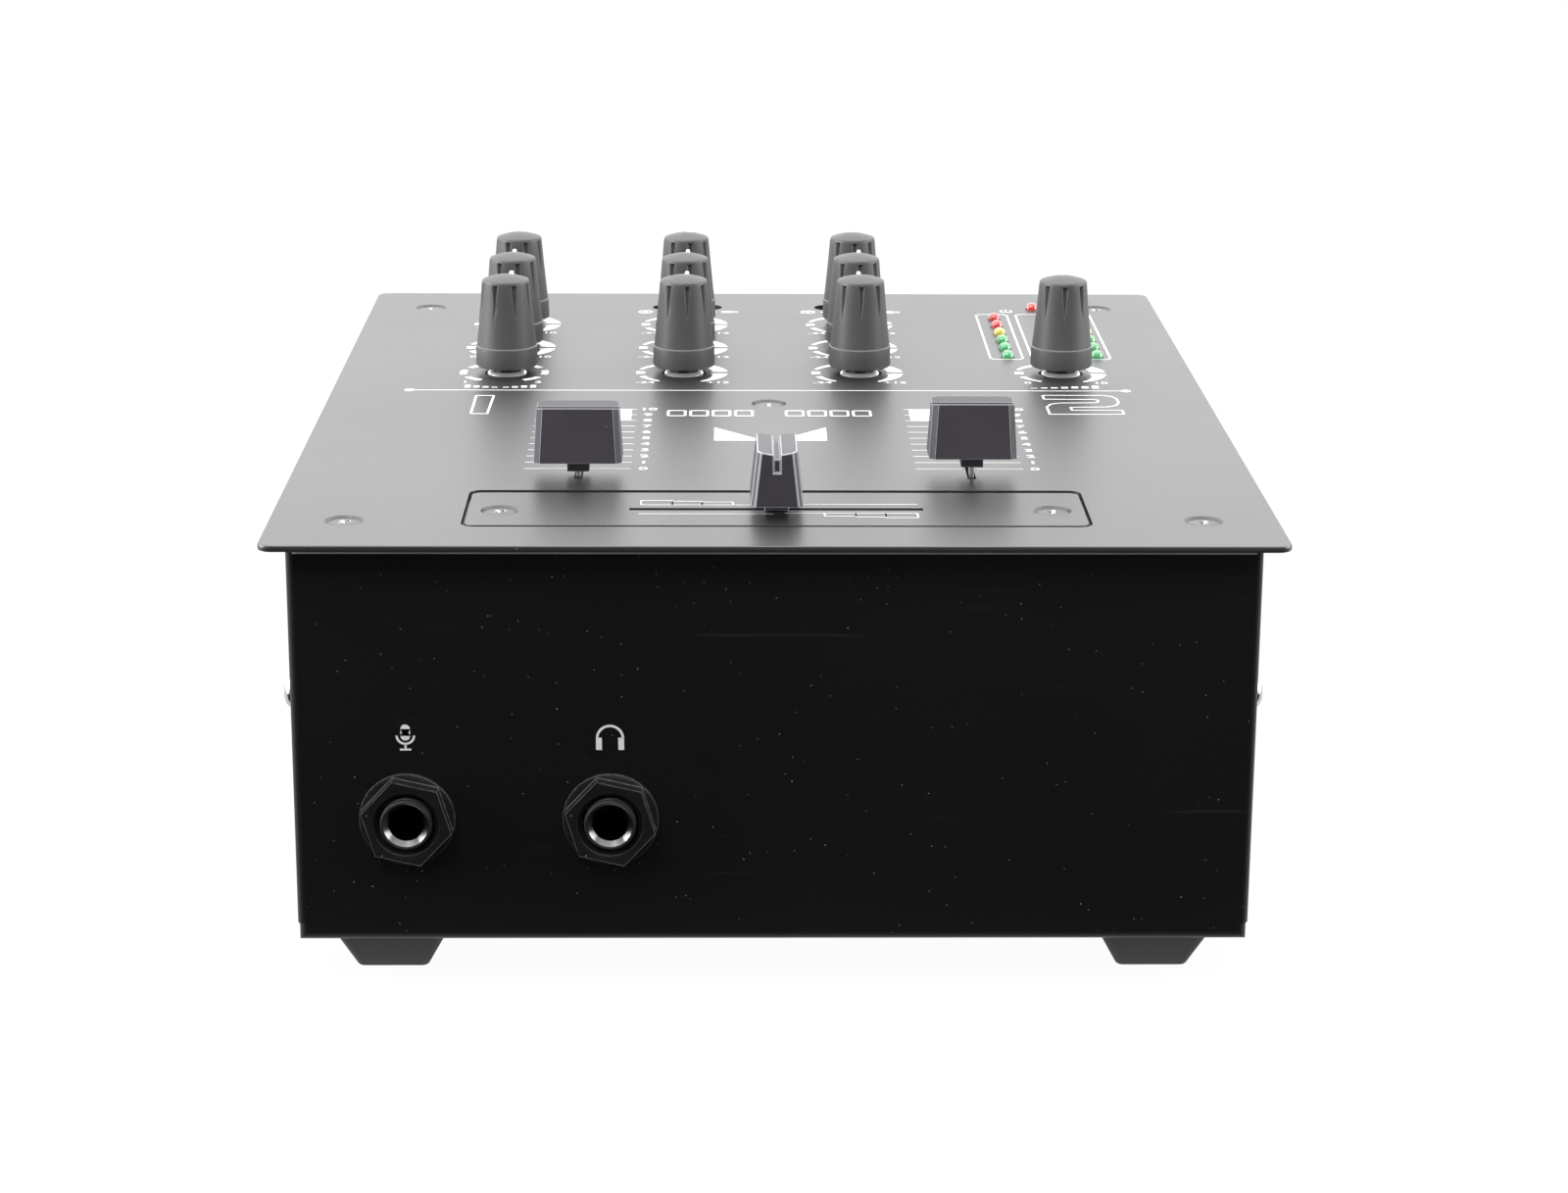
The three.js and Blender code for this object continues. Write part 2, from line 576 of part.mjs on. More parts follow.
function rearBoard() {
  const wallInside = TRAY_REAR - WALL - CONTACT;
  let board = box(152, BOARD_THICK, 46, 0, REAR_BOARD_Y, 16);
  const block = (width, height, x, z) => {
    const depth = wallInside - REAR_BOARD_Y;
    return box(width, depth, height, x, REAR_BOARD_Y + depth / 2, z - height / 2);
  };
  const socketEnd = PANEL_FRONT + PANEL.depth + SOCKET_REACH;
  for (const x of RCA.columns) {
    board = board.add(block(11, 30, x, (RCA.rows[0] + RCA.rows[1]) / 2));
    for (const z of RCA.rows) {
      board = board.add(barY(RCA.radius, wallInside - 1, socketEnd, x, z));
      board = board.subtract(barY(1.7, socketEnd - 8, socketEnd + 1, x, z, 12));
    }
  }
  board = board.add(block(12, 13, INLET.x, INLET.z));
  board = board.add(barY(5, wallInside - 1, TRAY_REAR + 0.8, INLET.x, INLET.z));
  board = board.subtract(barY(3, TRAY_REAR - 8, TRAY_REAR + 2, INLET.x, INLET.z));
  board = board.add(barY(1, TRAY_REAR - 9, TRAY_REAR - 0.5, INLET.x, INLET.z, 8));
  const lip = 1.2; // the switch case beyond the rear wall, and the thickness of its rim
  const caseDepth = TRAY_REAR + lip - REAR_BOARD_Y;
  const caseY = REAR_BOARD_Y + caseDepth / 2;
  const { width, height, x, z } = ROCKER;
  board = board.add(box(width, caseDepth, height, x, caseY, z - height / 2));
  return board.subtract(box(width - 3, 12, height - 2 * lip, x, TRAY_REAR + lip, z - height / 2 + lip));
}

// ---- Power rocker: a shallow vee that tips about X, modelled about its own pivot ----

function powerRocker() {
  const half = ROCKER.height / 2 - 2.1;
  const section = [[-3.2, -half * 0.5], [1.2, -half], [0.5, 0], [1.2, half], [-3.2, half * 0.5]];
  return drawnAlongX(outline(section), ROCKER.width - 4);
}

// ---- Jacks and their hexagon nuts ----

function jack() {
  const inside = TRAY_FRONT + WALL + CONTACT;
  const mouth = TRAY_FRONT - JACK.proud;
  return cut(
    join(
      box(15, 24, 18, 0, inside + 12, JACK.z - 9),
      barY(JACK.bush, mouth, inside + 1, 0, JACK.z, 24),
    ),
    barY(JACK.bore, mouth - 1, inside + 22, 0, JACK.z, 24),
    barY(JACK.bush - 0.3, mouth - 0.4, mouth + 1.4, 0, JACK.z, 24, JACK.bore - 0.1),
  );
}

function jackNut() {
  const seat = TRAY_FRONT - CONTACT;
  const outer = seat - NUT.thick;
  const acrossCorners = NUT.flats / Math.cos(Math.PI / 6);
  const hexagon = new THREE.CylinderGeometry(acrossCorners / 2, acrossCorners / 2, NUT.thick, 6);
  hexagon.rotateY(THREE.MathUtils.degToRad(NUT.turn + 30)).translate(0, (seat + outer) / 2, JACK.z);
  return cut(
    join(solid(hexagon), barY(NUT.washer, seat - NUT.washerThick, seat, 0, JACK.z, 32)),
    barY(JACK.bush + 0.3, outer - 1, seat + 1, 0, JACK.z, 24),
    barY(NUT.mouth, outer - 0.5, outer + 1.6, 0, JACK.z, 24, JACK.bush + 0.3),
  );
}

// ---- Ground terminal: a threaded stud through the rear wall with a thumb nut outside ----

function groundTerminal() {
  const seat = TRAY_REAR + CONTACT;
  return join(
    barY(2, TRAY_REAR - 7, seat + 8, GROUND.x, GROUND.z, 12),
    barY(3, seat, seat + 1, GROUND.x, GROUND.z, 16, 4.4),
    barY(4.4, seat + 1, seat + 6, GROUND.x, GROUND.z, 18),
  );
}

// ---- Put everything together ----

place("top_panel", topPanel(), PAINT);
place("chassis_tray", chassisTray(), PAINT);
place("crossfader_plate", crossfaderPlate(), PAINT);

const footX = TRAY_WIDTH / 2 - FOOT.inset;
place("foot_front_left", foot(), RUBBER, [-footX, TRAY_FRONT + FOOT.inset, 0]);
place("foot_front_right", foot(), RUBBER, [footX, TRAY_FRONT + FOOT.inset, 0]);
place("foot_rear_left", foot(), RUBBER, [-footX, TRAY_REAR - FOOT.inset, 0]);
place("foot_rear_right", foot(), RUBBER, [footX, TRAY_REAR - FOOT.inset, 0]);

for (const [name, [x, y]] of Object.entries(panelScrews)) {
  place("panel_screw_" + name, countersunkScrew(), BLACK_STEEL, [x, y, PANEL_TOP - SCREW.depth]);
}
for (const [name, x] of [["left", plateScrewXs[0]], ["right", plateScrewXs[1]]]) {
  place("plate_screw_" + name, countersunkScrew(), BLACK_STEEL, [x, plateScrewY, plateTop - SCREW.depth]);
}
for (const [name, [x, y, z]] of Object.entries(sideScrews)) {
  const side = Math.sign(x);
  place("side_screw_" + name, panScrew(), NICKEL, [x + side * CONTACT, y, z], [0, (side * Math.PI) / 2, 0]);
}

for (const [name, x, distance] of KNOBS) {
  const spot = [x, fromFront(distance), PANEL_TOP];
  place("knob_" + name, knob(), SOFT_GREY, spot);
  place("shaft_" + name, shaft(), PLASTIC, spot);
}

// Each channel fader rests at the near end of its travel. The crossfader rests in the middle and lies across.
const across = [0, 0, Math.PI / 2];
const nearEnd = channelY - CHANNEL_FADER.travel / 2;
const channelFloor = BOARD_TOP + CONTACT;
const crossFloor = plateUnder - 0.3 - FADER.height;
const channelFaders = [["1", CHANNEL_FADER.one, CAP_LIFT.one], ["2", CHANNEL_FADER.two, CAP_LIFT.two]];
for (const [name, x, lift] of channelFaders) {
  const capZ = PANEL_TOP + lift;
  const reach = capZ + CAP.height - 3.4 - channelFloor;
  place("channel_fader_" + name, faderHousing(CHANNEL_FADER.travel), PLASTIC, [x, channelY, channelFloor]);
  place("fader_lever_" + name, faderLever(reach), BLACK_STEEL, [x, nearEnd, channelFloor]);
  place("fader_cap_" + name, faderCap(), CAP_BLACK, [x, nearEnd, capZ]);
}
const crossCapZ = plateTop + CAP_LIFT.cross;
const crossReach = crossCapZ + CAP.height - 3.4 - crossFloor;
place("crossfader", faderHousing(CROSSFADER.travel), PLASTIC, [CROSSFADER.x, crossY, crossFloor], across);
place("crossfader_lever", faderLever(crossReach), BLACK_STEEL, [CROSSFADER.x, crossY, crossFloor], across);
place("crossfader_cap", faderCap(), CAP_BLACK, [CROSSFADER.x, crossY, crossCapZ], across);

for (const [name, x] of [["1", COLUMN.one], ["2", COLUMN.two]]) {
  const left = x - SELECTOR.travel / 2;
  place("selector_slider_" + name, selectorSlider(), PLASTIC, [left, selectorY, PANEL_UNDER]);
}

place("level_meter_left", meter(METER_X.left), LENS_GREEN);
place("level_meter_right", meter(METER_X.right), LENS_GREEN);
place("power_lamp", powerLamp(), LENS_RED);

place("mic_jack", jack(), PLASTIC, [JACK.mic, 0, 0]);
place("phones_jack", jack(), PLASTIC, [JACK.phones, 0, 0]);
place("mic_jack_nut", jackNut(), PLASTIC, [JACK.mic, 0, 0]);
place("phones_jack_nut", jackNut(), PLASTIC, [JACK.phones, 0, 0]);

place("control_board", controlBoard(), BOARD_GREEN);
place("rear_board", rearBoard(), BOARD_GREEN);
const tipped = [THREE.MathUtils.degToRad(-ROCKER.swing), 0, 0];
place("power_rocker", powerRocker(), PLASTIC, [ROCKER.x, TRAY_REAR + 1, ROCKER.z], tipped);
place("ground_terminal", groundTerminal(), NICKEL);

export default mixer;
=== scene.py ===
"""Looks for a compact DJ mixer: finished pieces, procedural materials, studio and camera."""

import json
import math

import bmesh
import bpy
from mathutils import Matrix, Vector

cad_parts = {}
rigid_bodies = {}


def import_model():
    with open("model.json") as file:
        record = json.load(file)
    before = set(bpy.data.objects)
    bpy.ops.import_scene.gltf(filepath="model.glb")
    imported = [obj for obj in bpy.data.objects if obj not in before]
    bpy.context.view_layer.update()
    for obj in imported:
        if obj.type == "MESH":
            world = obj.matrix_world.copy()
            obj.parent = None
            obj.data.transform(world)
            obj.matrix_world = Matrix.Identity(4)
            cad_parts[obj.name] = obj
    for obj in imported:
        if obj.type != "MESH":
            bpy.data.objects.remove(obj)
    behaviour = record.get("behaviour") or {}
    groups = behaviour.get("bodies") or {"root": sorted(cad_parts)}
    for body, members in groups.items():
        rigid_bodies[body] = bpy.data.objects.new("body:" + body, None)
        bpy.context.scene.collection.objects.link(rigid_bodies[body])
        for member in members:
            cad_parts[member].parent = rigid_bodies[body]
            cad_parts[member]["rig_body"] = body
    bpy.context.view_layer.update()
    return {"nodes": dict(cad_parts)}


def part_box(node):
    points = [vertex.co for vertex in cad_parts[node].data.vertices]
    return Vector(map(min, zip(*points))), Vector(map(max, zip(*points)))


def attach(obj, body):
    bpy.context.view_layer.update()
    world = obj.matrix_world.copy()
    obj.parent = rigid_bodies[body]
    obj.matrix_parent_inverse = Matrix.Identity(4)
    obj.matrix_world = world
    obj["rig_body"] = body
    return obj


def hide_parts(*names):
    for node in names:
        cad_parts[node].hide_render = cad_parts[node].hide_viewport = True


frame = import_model()
NODES = frame["nodes"]
MM = 0.001


def low(node):
    """Lowest corner of a CAD node in millimetres."""
    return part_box(node)[0] / MM


def high(node):
    """Highest corner of a CAD node in millimetres."""
    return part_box(node)[1] / MM


def middle(node):
    """Centre of a CAD node in millimetres."""
    return (low(node) + high(node)) / 2


PANEL_TOP = high("top_panel").z
PANEL_FRONT = low("top_panel").y
TRAY_FRONT = low("chassis_tray").y
TRAY_REAR = high("chassis_tray").y
PLATE_TOP = high("crossfader_plate").z
FOOT_BOTTOM = 12.8  # width of a foot where it stands on the floor
KNOB_NODES = [name for name in NODES if name.startswith("knob_")]

# ---------------------------------------------------------------- materials


class Shader:
    """A small builder for a Principled material whose colour, roughness and bump come from nodes."""

    def __init__(self, name, color, rough, metal=0.0, ior=1.5):
        self.material = bpy.data.materials.new(name)
        self.material.use_nodes = True
        self.material.diffuse_color = (*color, 1)
        self.tree = self.material.node_tree
        self.surface = self.tree.nodes["Principled BSDF"]
        self.surface.inputs["Metallic"].default_value = metal
        self.surface.inputs["Specular IOR Level"].default_value = 0.5
        self.surface.inputs["IOR"].default_value = ior
        self.where = self.node("ShaderNodeTexCoord").outputs["Object"]
        self.color = self.node("ShaderNodeRGB").outputs[0]
        self.color.default_value = (*color, 1)
        self.rough = self.value(rough)
        self.height = None

    def node(self, kind, inputs=None, **settings):
        made = self.tree.nodes.new(kind)
        for key, value in settings.items():
            setattr(made, key, value)
        for key, value in (inputs or {}).items():
            if isinstance(value, bpy.types.NodeSocket):
                self.tree.links.new(value, made.inputs[key])
            else:
                made.inputs[key].default_value = value
        return made

    def value(self, number):
        made = self.node("ShaderNodeValue").outputs[0]
        made.default_value = number
        return made

    def math(self, operation, a, b=0.0):
        return self.node("ShaderNodeMath", {0: a, 1: b}, operation=operation).outputs[0]

    def noise(self, scale, detail=3.0, roughness=0.55):
        inputs = {"Vector": self.where, "Scale": scale, "Detail": detail, "Roughness": roughness}
        return self.node("ShaderNodeTexNoise", inputs).outputs["Fac"]

    def remap(self, source, from_min, from_max, to_min=0.0, to_max=1.0):
        inputs = {0: source, 1: from_min, 2: from_max, 3: to_min, 4: to_max}
        return self.node("ShaderNodeMapRange", inputs).outputs[0]

    def tint(self, mask, color):
        """Mixes the colour towards another one by a mask."""
        made = self.node("ShaderNodeMix", data_type="RGBA")
        self.tree.links.new(mask, made.inputs["Factor"])
        self.tree.links.new(self.color, made.inputs[6])
        made.inputs[7].default_value = (*color, 1)
        self.color = made.outputs[2]
        return self

    def vary(self, scale, amount, rough_amount=0.0):
        """Slow drift of brightness and roughness over the piece."""
        drift = self.noise(scale)
        gain = self.remap(drift, 0.25, 0.75, 1 - amount, 1 + amount)
        made = self.node("ShaderNodeMix", data_type="RGBA", blend_type="MULTIPLY")
        made.inputs["Factor"].default_value = 1
        grey = self.node("ShaderNodeCombineColor", {0: gain, 1: gain, 2: gain}).outputs[0]
        self.tree.links.new(self.color, made.inputs[6])
        self.tree.links.new(grey, made.inputs[7])
        self.color = made.outputs[2]
        self.rough = self.math("ADD", self.rough, self.remap(drift, 0.25, 0.75, -rough_amount, rough_amount))
        return self

    def grain(self, scale, height, detail=2.0):
        """Adds fine relief, with its height in metres."""
        relief = self.math("MULTIPLY", self.noise(scale, detail), height)
        self.height = relief if self.height is None else self.math("ADD", self.height, relief)
        return self

    def dust(self, scale, size, color, share=0.5):
        """Tiny settled specks: a share of the cells of a Voronoi pattern hold one."""
        cells = self.node("ShaderNodeTexVoronoi", {"Vector": self.where, "Scale": scale})
        near = self.math("LESS_THAN", cells.outputs["Distance"], size)
        picked = self.node("ShaderNodeSeparateColor", {0: cells.outputs["Color"]}).outputs[0]
        speck = self.math("MULTIPLY", near, self.math("LESS_THAN", picked, share))
        self.tint(self.math("MULTIPLY", speck, 0.75), color)
        self.rough = self.math("MAXIMUM", self.rough, self.math("MULTIPLY", speck, 0.8))
        return self

    def edges(self, radius, color, strength=0.6):
        """Paler edges, found where a rounded normal leaves the true one: partly wear, partly a painted
        highlight where edges catch the light.
        """
        rounded = self.node("ShaderNodeBevel", {"Radius": radius}, samples=6).outputs[0]
        true = self.node("ShaderNodeNewGeometry").outputs["Normal"]
        dot = self.node("ShaderNodeVectorMath", {0: rounded, 1: true}, operation="DOT_PRODUCT")
        edge = self.remap(dot.outputs["Value"], 0.985, 0.8)
        patchy = self.remap(self.noise(900), 0.3, 0.6, 0.45, 1.0)
        return self.tint(self.math("MULTIPLY", self.math("MULTIPLY", edge, patchy), strength), color)

    def scratches(self, scale, color, strength):
        """Long fine scratches in two directions."""
        for stretch in ((1, 0.03, 1), (0.03, 1, 1)):
            turned = self.node("ShaderNodeMapping", {"Vector": self.where, "Scale": stretch,
                                                     "Rotation": (0, 0, 0.5 * stretch[0])})
            inputs = {"Vector": turned.outputs[0], "Scale": scale, "Detail": 1.0}
            lines = self.node("ShaderNodeTexNoise", inputs)
            self.tint(self.remap(lines.outputs["Fac"], 0.76, 0.8, 0, strength), color)
        return self

    def done(self):
        self.tree.links.new(self.color, self.surface.inputs["Base Color"])
        self.tree.links.new(self.rough, self.surface.inputs["Roughness"])
        if self.height is not None:
            inputs = {"Height": self.height, "Distance": 1.0, "Strength": 1.0}
            relief = self.node("ShaderNodeBump", inputs)
            self.tree.links.new(relief.outputs[0], self.surface.inputs["Normal"])
        return self.material


def powder_coat(name, color, rough, ior):
    look = Shader(name, color, rough, ior=ior)
    look.vary(14, 0.12, 0.02).grain(1500, 0.000008).scratches(900, (0.05, 0.05, 0.05), 0.2)
    look.dust(330, 0.035, (0.4, 0.4, 0.38), 0.4).dust(620, 0.07, (0.2, 0.2, 0.19), 0.3)
    # Paler edges: partly wear, partly painted highlight.
    return look.edges(0.0003, (0.09, 0.09, 0.09), 0.5).done()


def soft_plastic(name, color, rough, relief=0.00002, edge=None, grain=2600):
    look = Shader(name, color, rough).vary(90, 0.08, 0.04).grain(grain, relief)
    look.dust(420, 0.045, (0.4, 0.4, 0.4), 0.3)
    # Paler edges, by default twice the base colour: partly wear, partly painted highlight.
    return look.edges(0.00035, edge or [c * 2 for c in color], 0.7).done()


def metal(name, color, rough, grain=3000, glow=0.0):
    look = Shader(name, color, rough, metal=1.0).vary(300, 0.1, 0.06).grain(grain, 0.000004)
    look.surface.inputs["Emission Color"].default_value = (*color, 1)
    look.surface.inputs["Emission Strength"].default_value = glow
    return look.tint(look.remap(look.noise(700), 0.62, 0.8, 0, 0.4), [c * 0.45 for c in color]).done()


def ink(name, color):
    look = Shader(name, color, 0.45).vary(700, 0.06).grain(4000, 0.000006)
    return look.tint(look.remap(look.noise(2500), 0.66, 0.74, 0, 0.35), [c / 2 for c in color]).done()


def lamp(name, color, glow):
    """A tinted dome whose colour is darkened towards its outline: painted shade that stands in for the depth
    of clear resin.
    """
    look = Shader(name, color, 0.08, ior=1.7).vary(500, 0.15).grain(900, 0.000002)
    facing = look.node("ShaderNodeLayerWeight", {"Blend": 0.5}).outputs["Facing"]
    look.tint(look.remap(facing, 0.25, 0.95), [c * 0.12 for c in color])
    look.surface.inputs["Coat Weight"].default_value = 1.0
    look.surface.inputs["Emission Color"].default_value = (*color, 1)
    look.surface.inputs["Emission Strength"].default_value = glow
    return look.done()


PANEL_PAINT = powder_coat("panel_powder_coat", (0.011, 0.0115, 0.012), 0.41, 1.92)
CASE_PAINT = powder_coat("case_powder_coat", (0.005, 0.0052, 0.0056), 0.36, 1.4)
INK = ink("white_ink", (0.82, 0.82, 0.8))
PALE_INK = ink("pale_ink", (0.4, 0.4, 0.39))
KNOB_GREY = soft_plastic("knob_soft_touch", (0.067, 0.067, 0.069), 0.5, edge=(0.2, 0.2, 0.2))
BAND_GREY = soft_plastic("knob_band", (0.13, 0.13, 0.13), 0.45)
POINTER_WHITE = soft_plastic("knob_pointer", (0.85, 0.85, 0.83), 0.4, edge=(0.9, 0.9, 0.9))
CAP_VIOLET = soft_plastic("cap_textured", (0.042, 0.038, 0.046), 0.45, 0.00005, (0.2, 0.19, 0.22), 3800)
# A lighter copy of the cap's colour for its rounded edges: a painted highlight.
CAP_EDGE_HIGHLIGHT = soft_plastic("cap_edge_painted_highlight", (0.34, 0.33, 0.37), 0.3, 0.00001, (0.42, 0.41, 0.45))
BLACK_PLASTIC = soft_plastic("black_plastic", (0.012, 0.012, 0.013), 0.42)
# Its pale edge colour is a painted highlight on the outlines of the nut and washer.
SHINY_BLACK = soft_plastic("gloss_black_plastic", (0.012, 0.012, 0.013), 0.2, 0.000006, (0.3, 0.3, 0.3))
# The bush ring's faint emission is painted light, so that it reads bright in the shade under its knob.
BUSH_METAL_GLOW = metal("bush_nickel_painted_glow", (0.85, 0.85, 0.84), 0.35, glow=0.2)
# A pale rim colour: a painted highlight for the light line under the panel's edge.
RIM_HIGHLIGHT = soft_plastic("rim_painted_highlight", (0.7, 0.7, 0.7), 0.35, 0.00001, (0.8, 0.8, 0.8))
RUBBER = soft_plastic("foot_rubber", (0.045, 0.045, 0.046), 0.75, 0.00006, (0.09, 0.09, 0.09), 1800)
SCREW_BLACK = soft_plastic("screw_black", (0.02, 0.02, 0.021), 0.3, 0.000006, (0.12, 0.12, 0.12))
SCREW_STEEL = metal("screw_steel", (0.6, 0.6, 0.6), 0.2)
JACK_STEEL = metal("jack_steel", (0.16, 0.16, 0.16), 0.24)
NICKEL = metal("nickel_plate", (0.72, 0.71, 0.69), 0.18)
LEVER_STEEL = metal("lever_steel", (0.5, 0.5, 0.5), 0.3)
GREEN_BOARD = soft_plastic("solder_mask", (0.012, 0.07, 0.03), 0.4)
WHITE_PLASTIC = soft_plastic("white_socket", (0.7, 0.7, 0.68), 0.4, edge=(0.75, 0.75, 0.75))
RED_PLASTIC = soft_plastic("red_socket", (0.5, 0.015, 0.012), 0.4, edge=(0.6, 0.05, 0.04))
LAMP_GREEN = lamp("lamp_green", (0.07, 0.36, 0.13), 0.2)
LAMP_AMBER = lamp("lamp_amber", (0.5, 0.42, 0.06), 0.2)
LAMP_RED = lamp("lamp_red", (0.5, 0.035, 0.03), 0.2)

# ---------------------------------------------------------------- mesh building, in millimetres


class Build:
    """Collects solids and sheets, each with its own material, into one mesh."""

    def __init__(self):
        self.verts, self.faces, self.slots, self.materials = [], [], [], []

    def add(self, verts, faces, material):
        if material not in self.materials:
            self.materials.append(material)
        start = len(self.verts)
        self.verts += [tuple(v) for v in verts]
        self.faces += [[start + i for i in face] for face in faces]
        self.slots += [self.materials.index(material)] * len(faces)
        return self

    def piece(self, name, body, at=(0, 0, 0), turn=None, stands_for=(), slot=None, smooth=35):
        data = bpy.data.meshes.new(name)
        data.from_pydata([Vector(v) * MM for v in self.verts], [], self.faces)
        for material in self.materials:
            data.materials.append(material)
        data.polygons.foreach_set("material_index", self.slots)
        data.validate()
        data.shade_smooth()
        data.set_sharp_from_angle(angle=math.radians(smooth))
        return place(data, name, body, at, turn, stands_for)


def place(data, name, body, at=(0, 0, 0), turn=None, stands_for=()):
    obj = bpy.data.objects.new(name, data)
    bpy.context.scene.collection.objects.link(obj)
    obj.matrix_world = Matrix.Translation(Vector(at) * MM) @ (turn or Matrix())
    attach(obj, body)
    if stands_for:
        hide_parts(*stands_for)
    return obj


def skin(rings, closed=False):
    """Joins rings of equal count. Open ends are capped; a closed skin joins its last ring to its first."""
    around = len(rings[0])
    verts = [point for ring in rings for point in ring]
    faces = []
    pairs = [(k, k + 1) for k in range(len(rings) - 1)] + ([(len(rings) - 1, 0)] if closed else [])
    for a, b in pairs:
        for i in range(around):
            j = (i + 1) % around
            faces.append((a * around + i, a * around + j, b * around + j, b * around + i))
    if not closed:
        faces.append(tuple(reversed(range(around))))
        faces.append(tuple((len(rings) - 1) * around + i for i in range(around)))
    return verts, faces


def circle(radius, z, sides=64, squash=None):
    points = []
    for i in range(sides):
        angle = 2 * math.pi * i / sides
        reach = radius if squash is None else min(radius, squash(angle))
        points.append((reach * math.cos(angle), reach * math.sin(angle), z))
    return points


def turned(profile, sides=64, closed=False, squash=None):
    """A profile of (radius, height), from the bottom up, turned about Z."""
    return skin([circle(radius, z, sides, squash) for radius, z in profile], closed)


def moved(shape, x=0, y=0, z=0, turn=None):
    verts, faces = shape
    turn = turn or Matrix.Identity(3)
    return [turn @ Vector(v) + Vector((x, y, z)) for v in verts], faces


def brick(x0, x1, y0, y1, z0, z1, bevel=0.2, segments=2):
    """A box with rounded edges."""
    bm = bmesh.new()
    bmesh.ops.create_cube(bm, size=1)
    for v in bm.verts:
        v.co = Vector((x0 + (v.co.x + 0.5) * (x1 - x0),
                       y0 + (v.co.y + 0.5) * (y1 - y0),
                       z0 + (v.co.z + 0.5) * (z1 - z0)))
    if bevel:
        bmesh.ops.bevel(bm, geom=bm.edges, offset=bevel, segments=segments, profile=0.5,
                        affect="EDGES", clamp_overlap=True)
    bm.verts.index_update()
    made = [v.co.copy() for v in bm.verts], [[v.index for v in f.verts] for f in bm.faces]
    bm.free()
    return made


TO_FRONT = Matrix.Rotation(math.pi / 2, 3, "X")  # turns +Z to face -Y, the front
TO_REAR = Matrix.Rotation(-math.pi / 2, 3, "X")  # turns +Z to face +Y, the rear
TO_RIGHT = Matrix.Rotation(math.pi / 2, 3, "Y")
TO_LEFT = Matrix.Rotation(-math.pi / 2, 3, "Y")


def carve(shape, *cutters):
    """Cuts solids out of a solid with exact booleans, and returns its vertices and faces."""
    def scratch(part):
        data = bpy.data.meshes.new("scratch")
        data.from_pydata([tuple(v) for v in part[0]], [], [tuple(f) for f in part[1]])
        obj = bpy.data.objects.new("scratch", data)
        bpy.context.scene.collection.objects.link(obj)
        return obj

    work = scratch(shape)
    tools = [scratch(cutter) for cutter in cutters]
    for tool in tools:
        step = work.modifiers.new("cut", "BOOLEAN")
        step.operation, step.object, step.solver = "DIFFERENCE", tool, "EXACT"
    evaluated = work.evaluated_get(bpy.context.evaluated_depsgraph_get())
    data = evaluated.to_mesh()
    made = [v.co.copy() for v in data.vertices], [list(p.vertices) for p in data.polygons]
    evaluated.to_mesh_clear()
    for obj in [work, *tools]:
        bpy.data.objects.remove(obj)
    return made


RIM_BAND = 3  # edges nearer than this to a sheet's outline belong to the outline


def refined(node, material, bevel, segments=2, edge=None, openings=None):
    """A CAD node's own shape with its coplanar faces merged and its sharp edges rounded.

    The rounded edges can have a material of their own, and the edges of openings, well inside a sheet's
    outline, a smaller rounding.
    """
    bm = bmesh.new()
    bm.from_mesh(NODES[node].data)
    bmesh.ops.remove_doubles(bm, verts=bm.verts, dist=2e-6)
    bmesh.ops.dissolve_limit(bm, angle_limit=math.radians(1), verts=bm.verts, edges=bm.edges)
    bottom, top = low(node), high(node)
    inner = lambda v: all(bottom[i] + RIM_BAND < v.co[i] / MM < top[i] - RIM_BAND for i in (0, 1))
    is_sharp = lambda e: e.is_manifold and e.calc_face_angle(0) > math.radians(30)
    for size, inside in ((bevel, False), (openings or bevel, True)):
        picked = [e for e in bm.edges if is_sharp(e) and all(inner(v) for v in e.verts) == inside]
        bmesh.ops.bevel(bm, geom=picked, offset=size * MM, segments=segments, profile=0.5, affect="EDGES",
                        clamp_overlap=True, material=1 if edge else -1)
    data = bpy.data.meshes.new(node + "_finished")
    bm.to_mesh(data)
    bm.free()
    data.materials.append(material)
    if edge:
        data.materials.append(edge)
    data.shade_smooth()
    data.set_sharp_from_angle(angle=math.radians(32))
    body = NODES[node]["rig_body"]
    made = place(data, node + "_finished", body, stands_for=(node,))
    made.modifiers.new("normals", "WEIGHTED_NORMAL").keep_sharp = True
    return made


# ---------------------------------------------------------------- printing


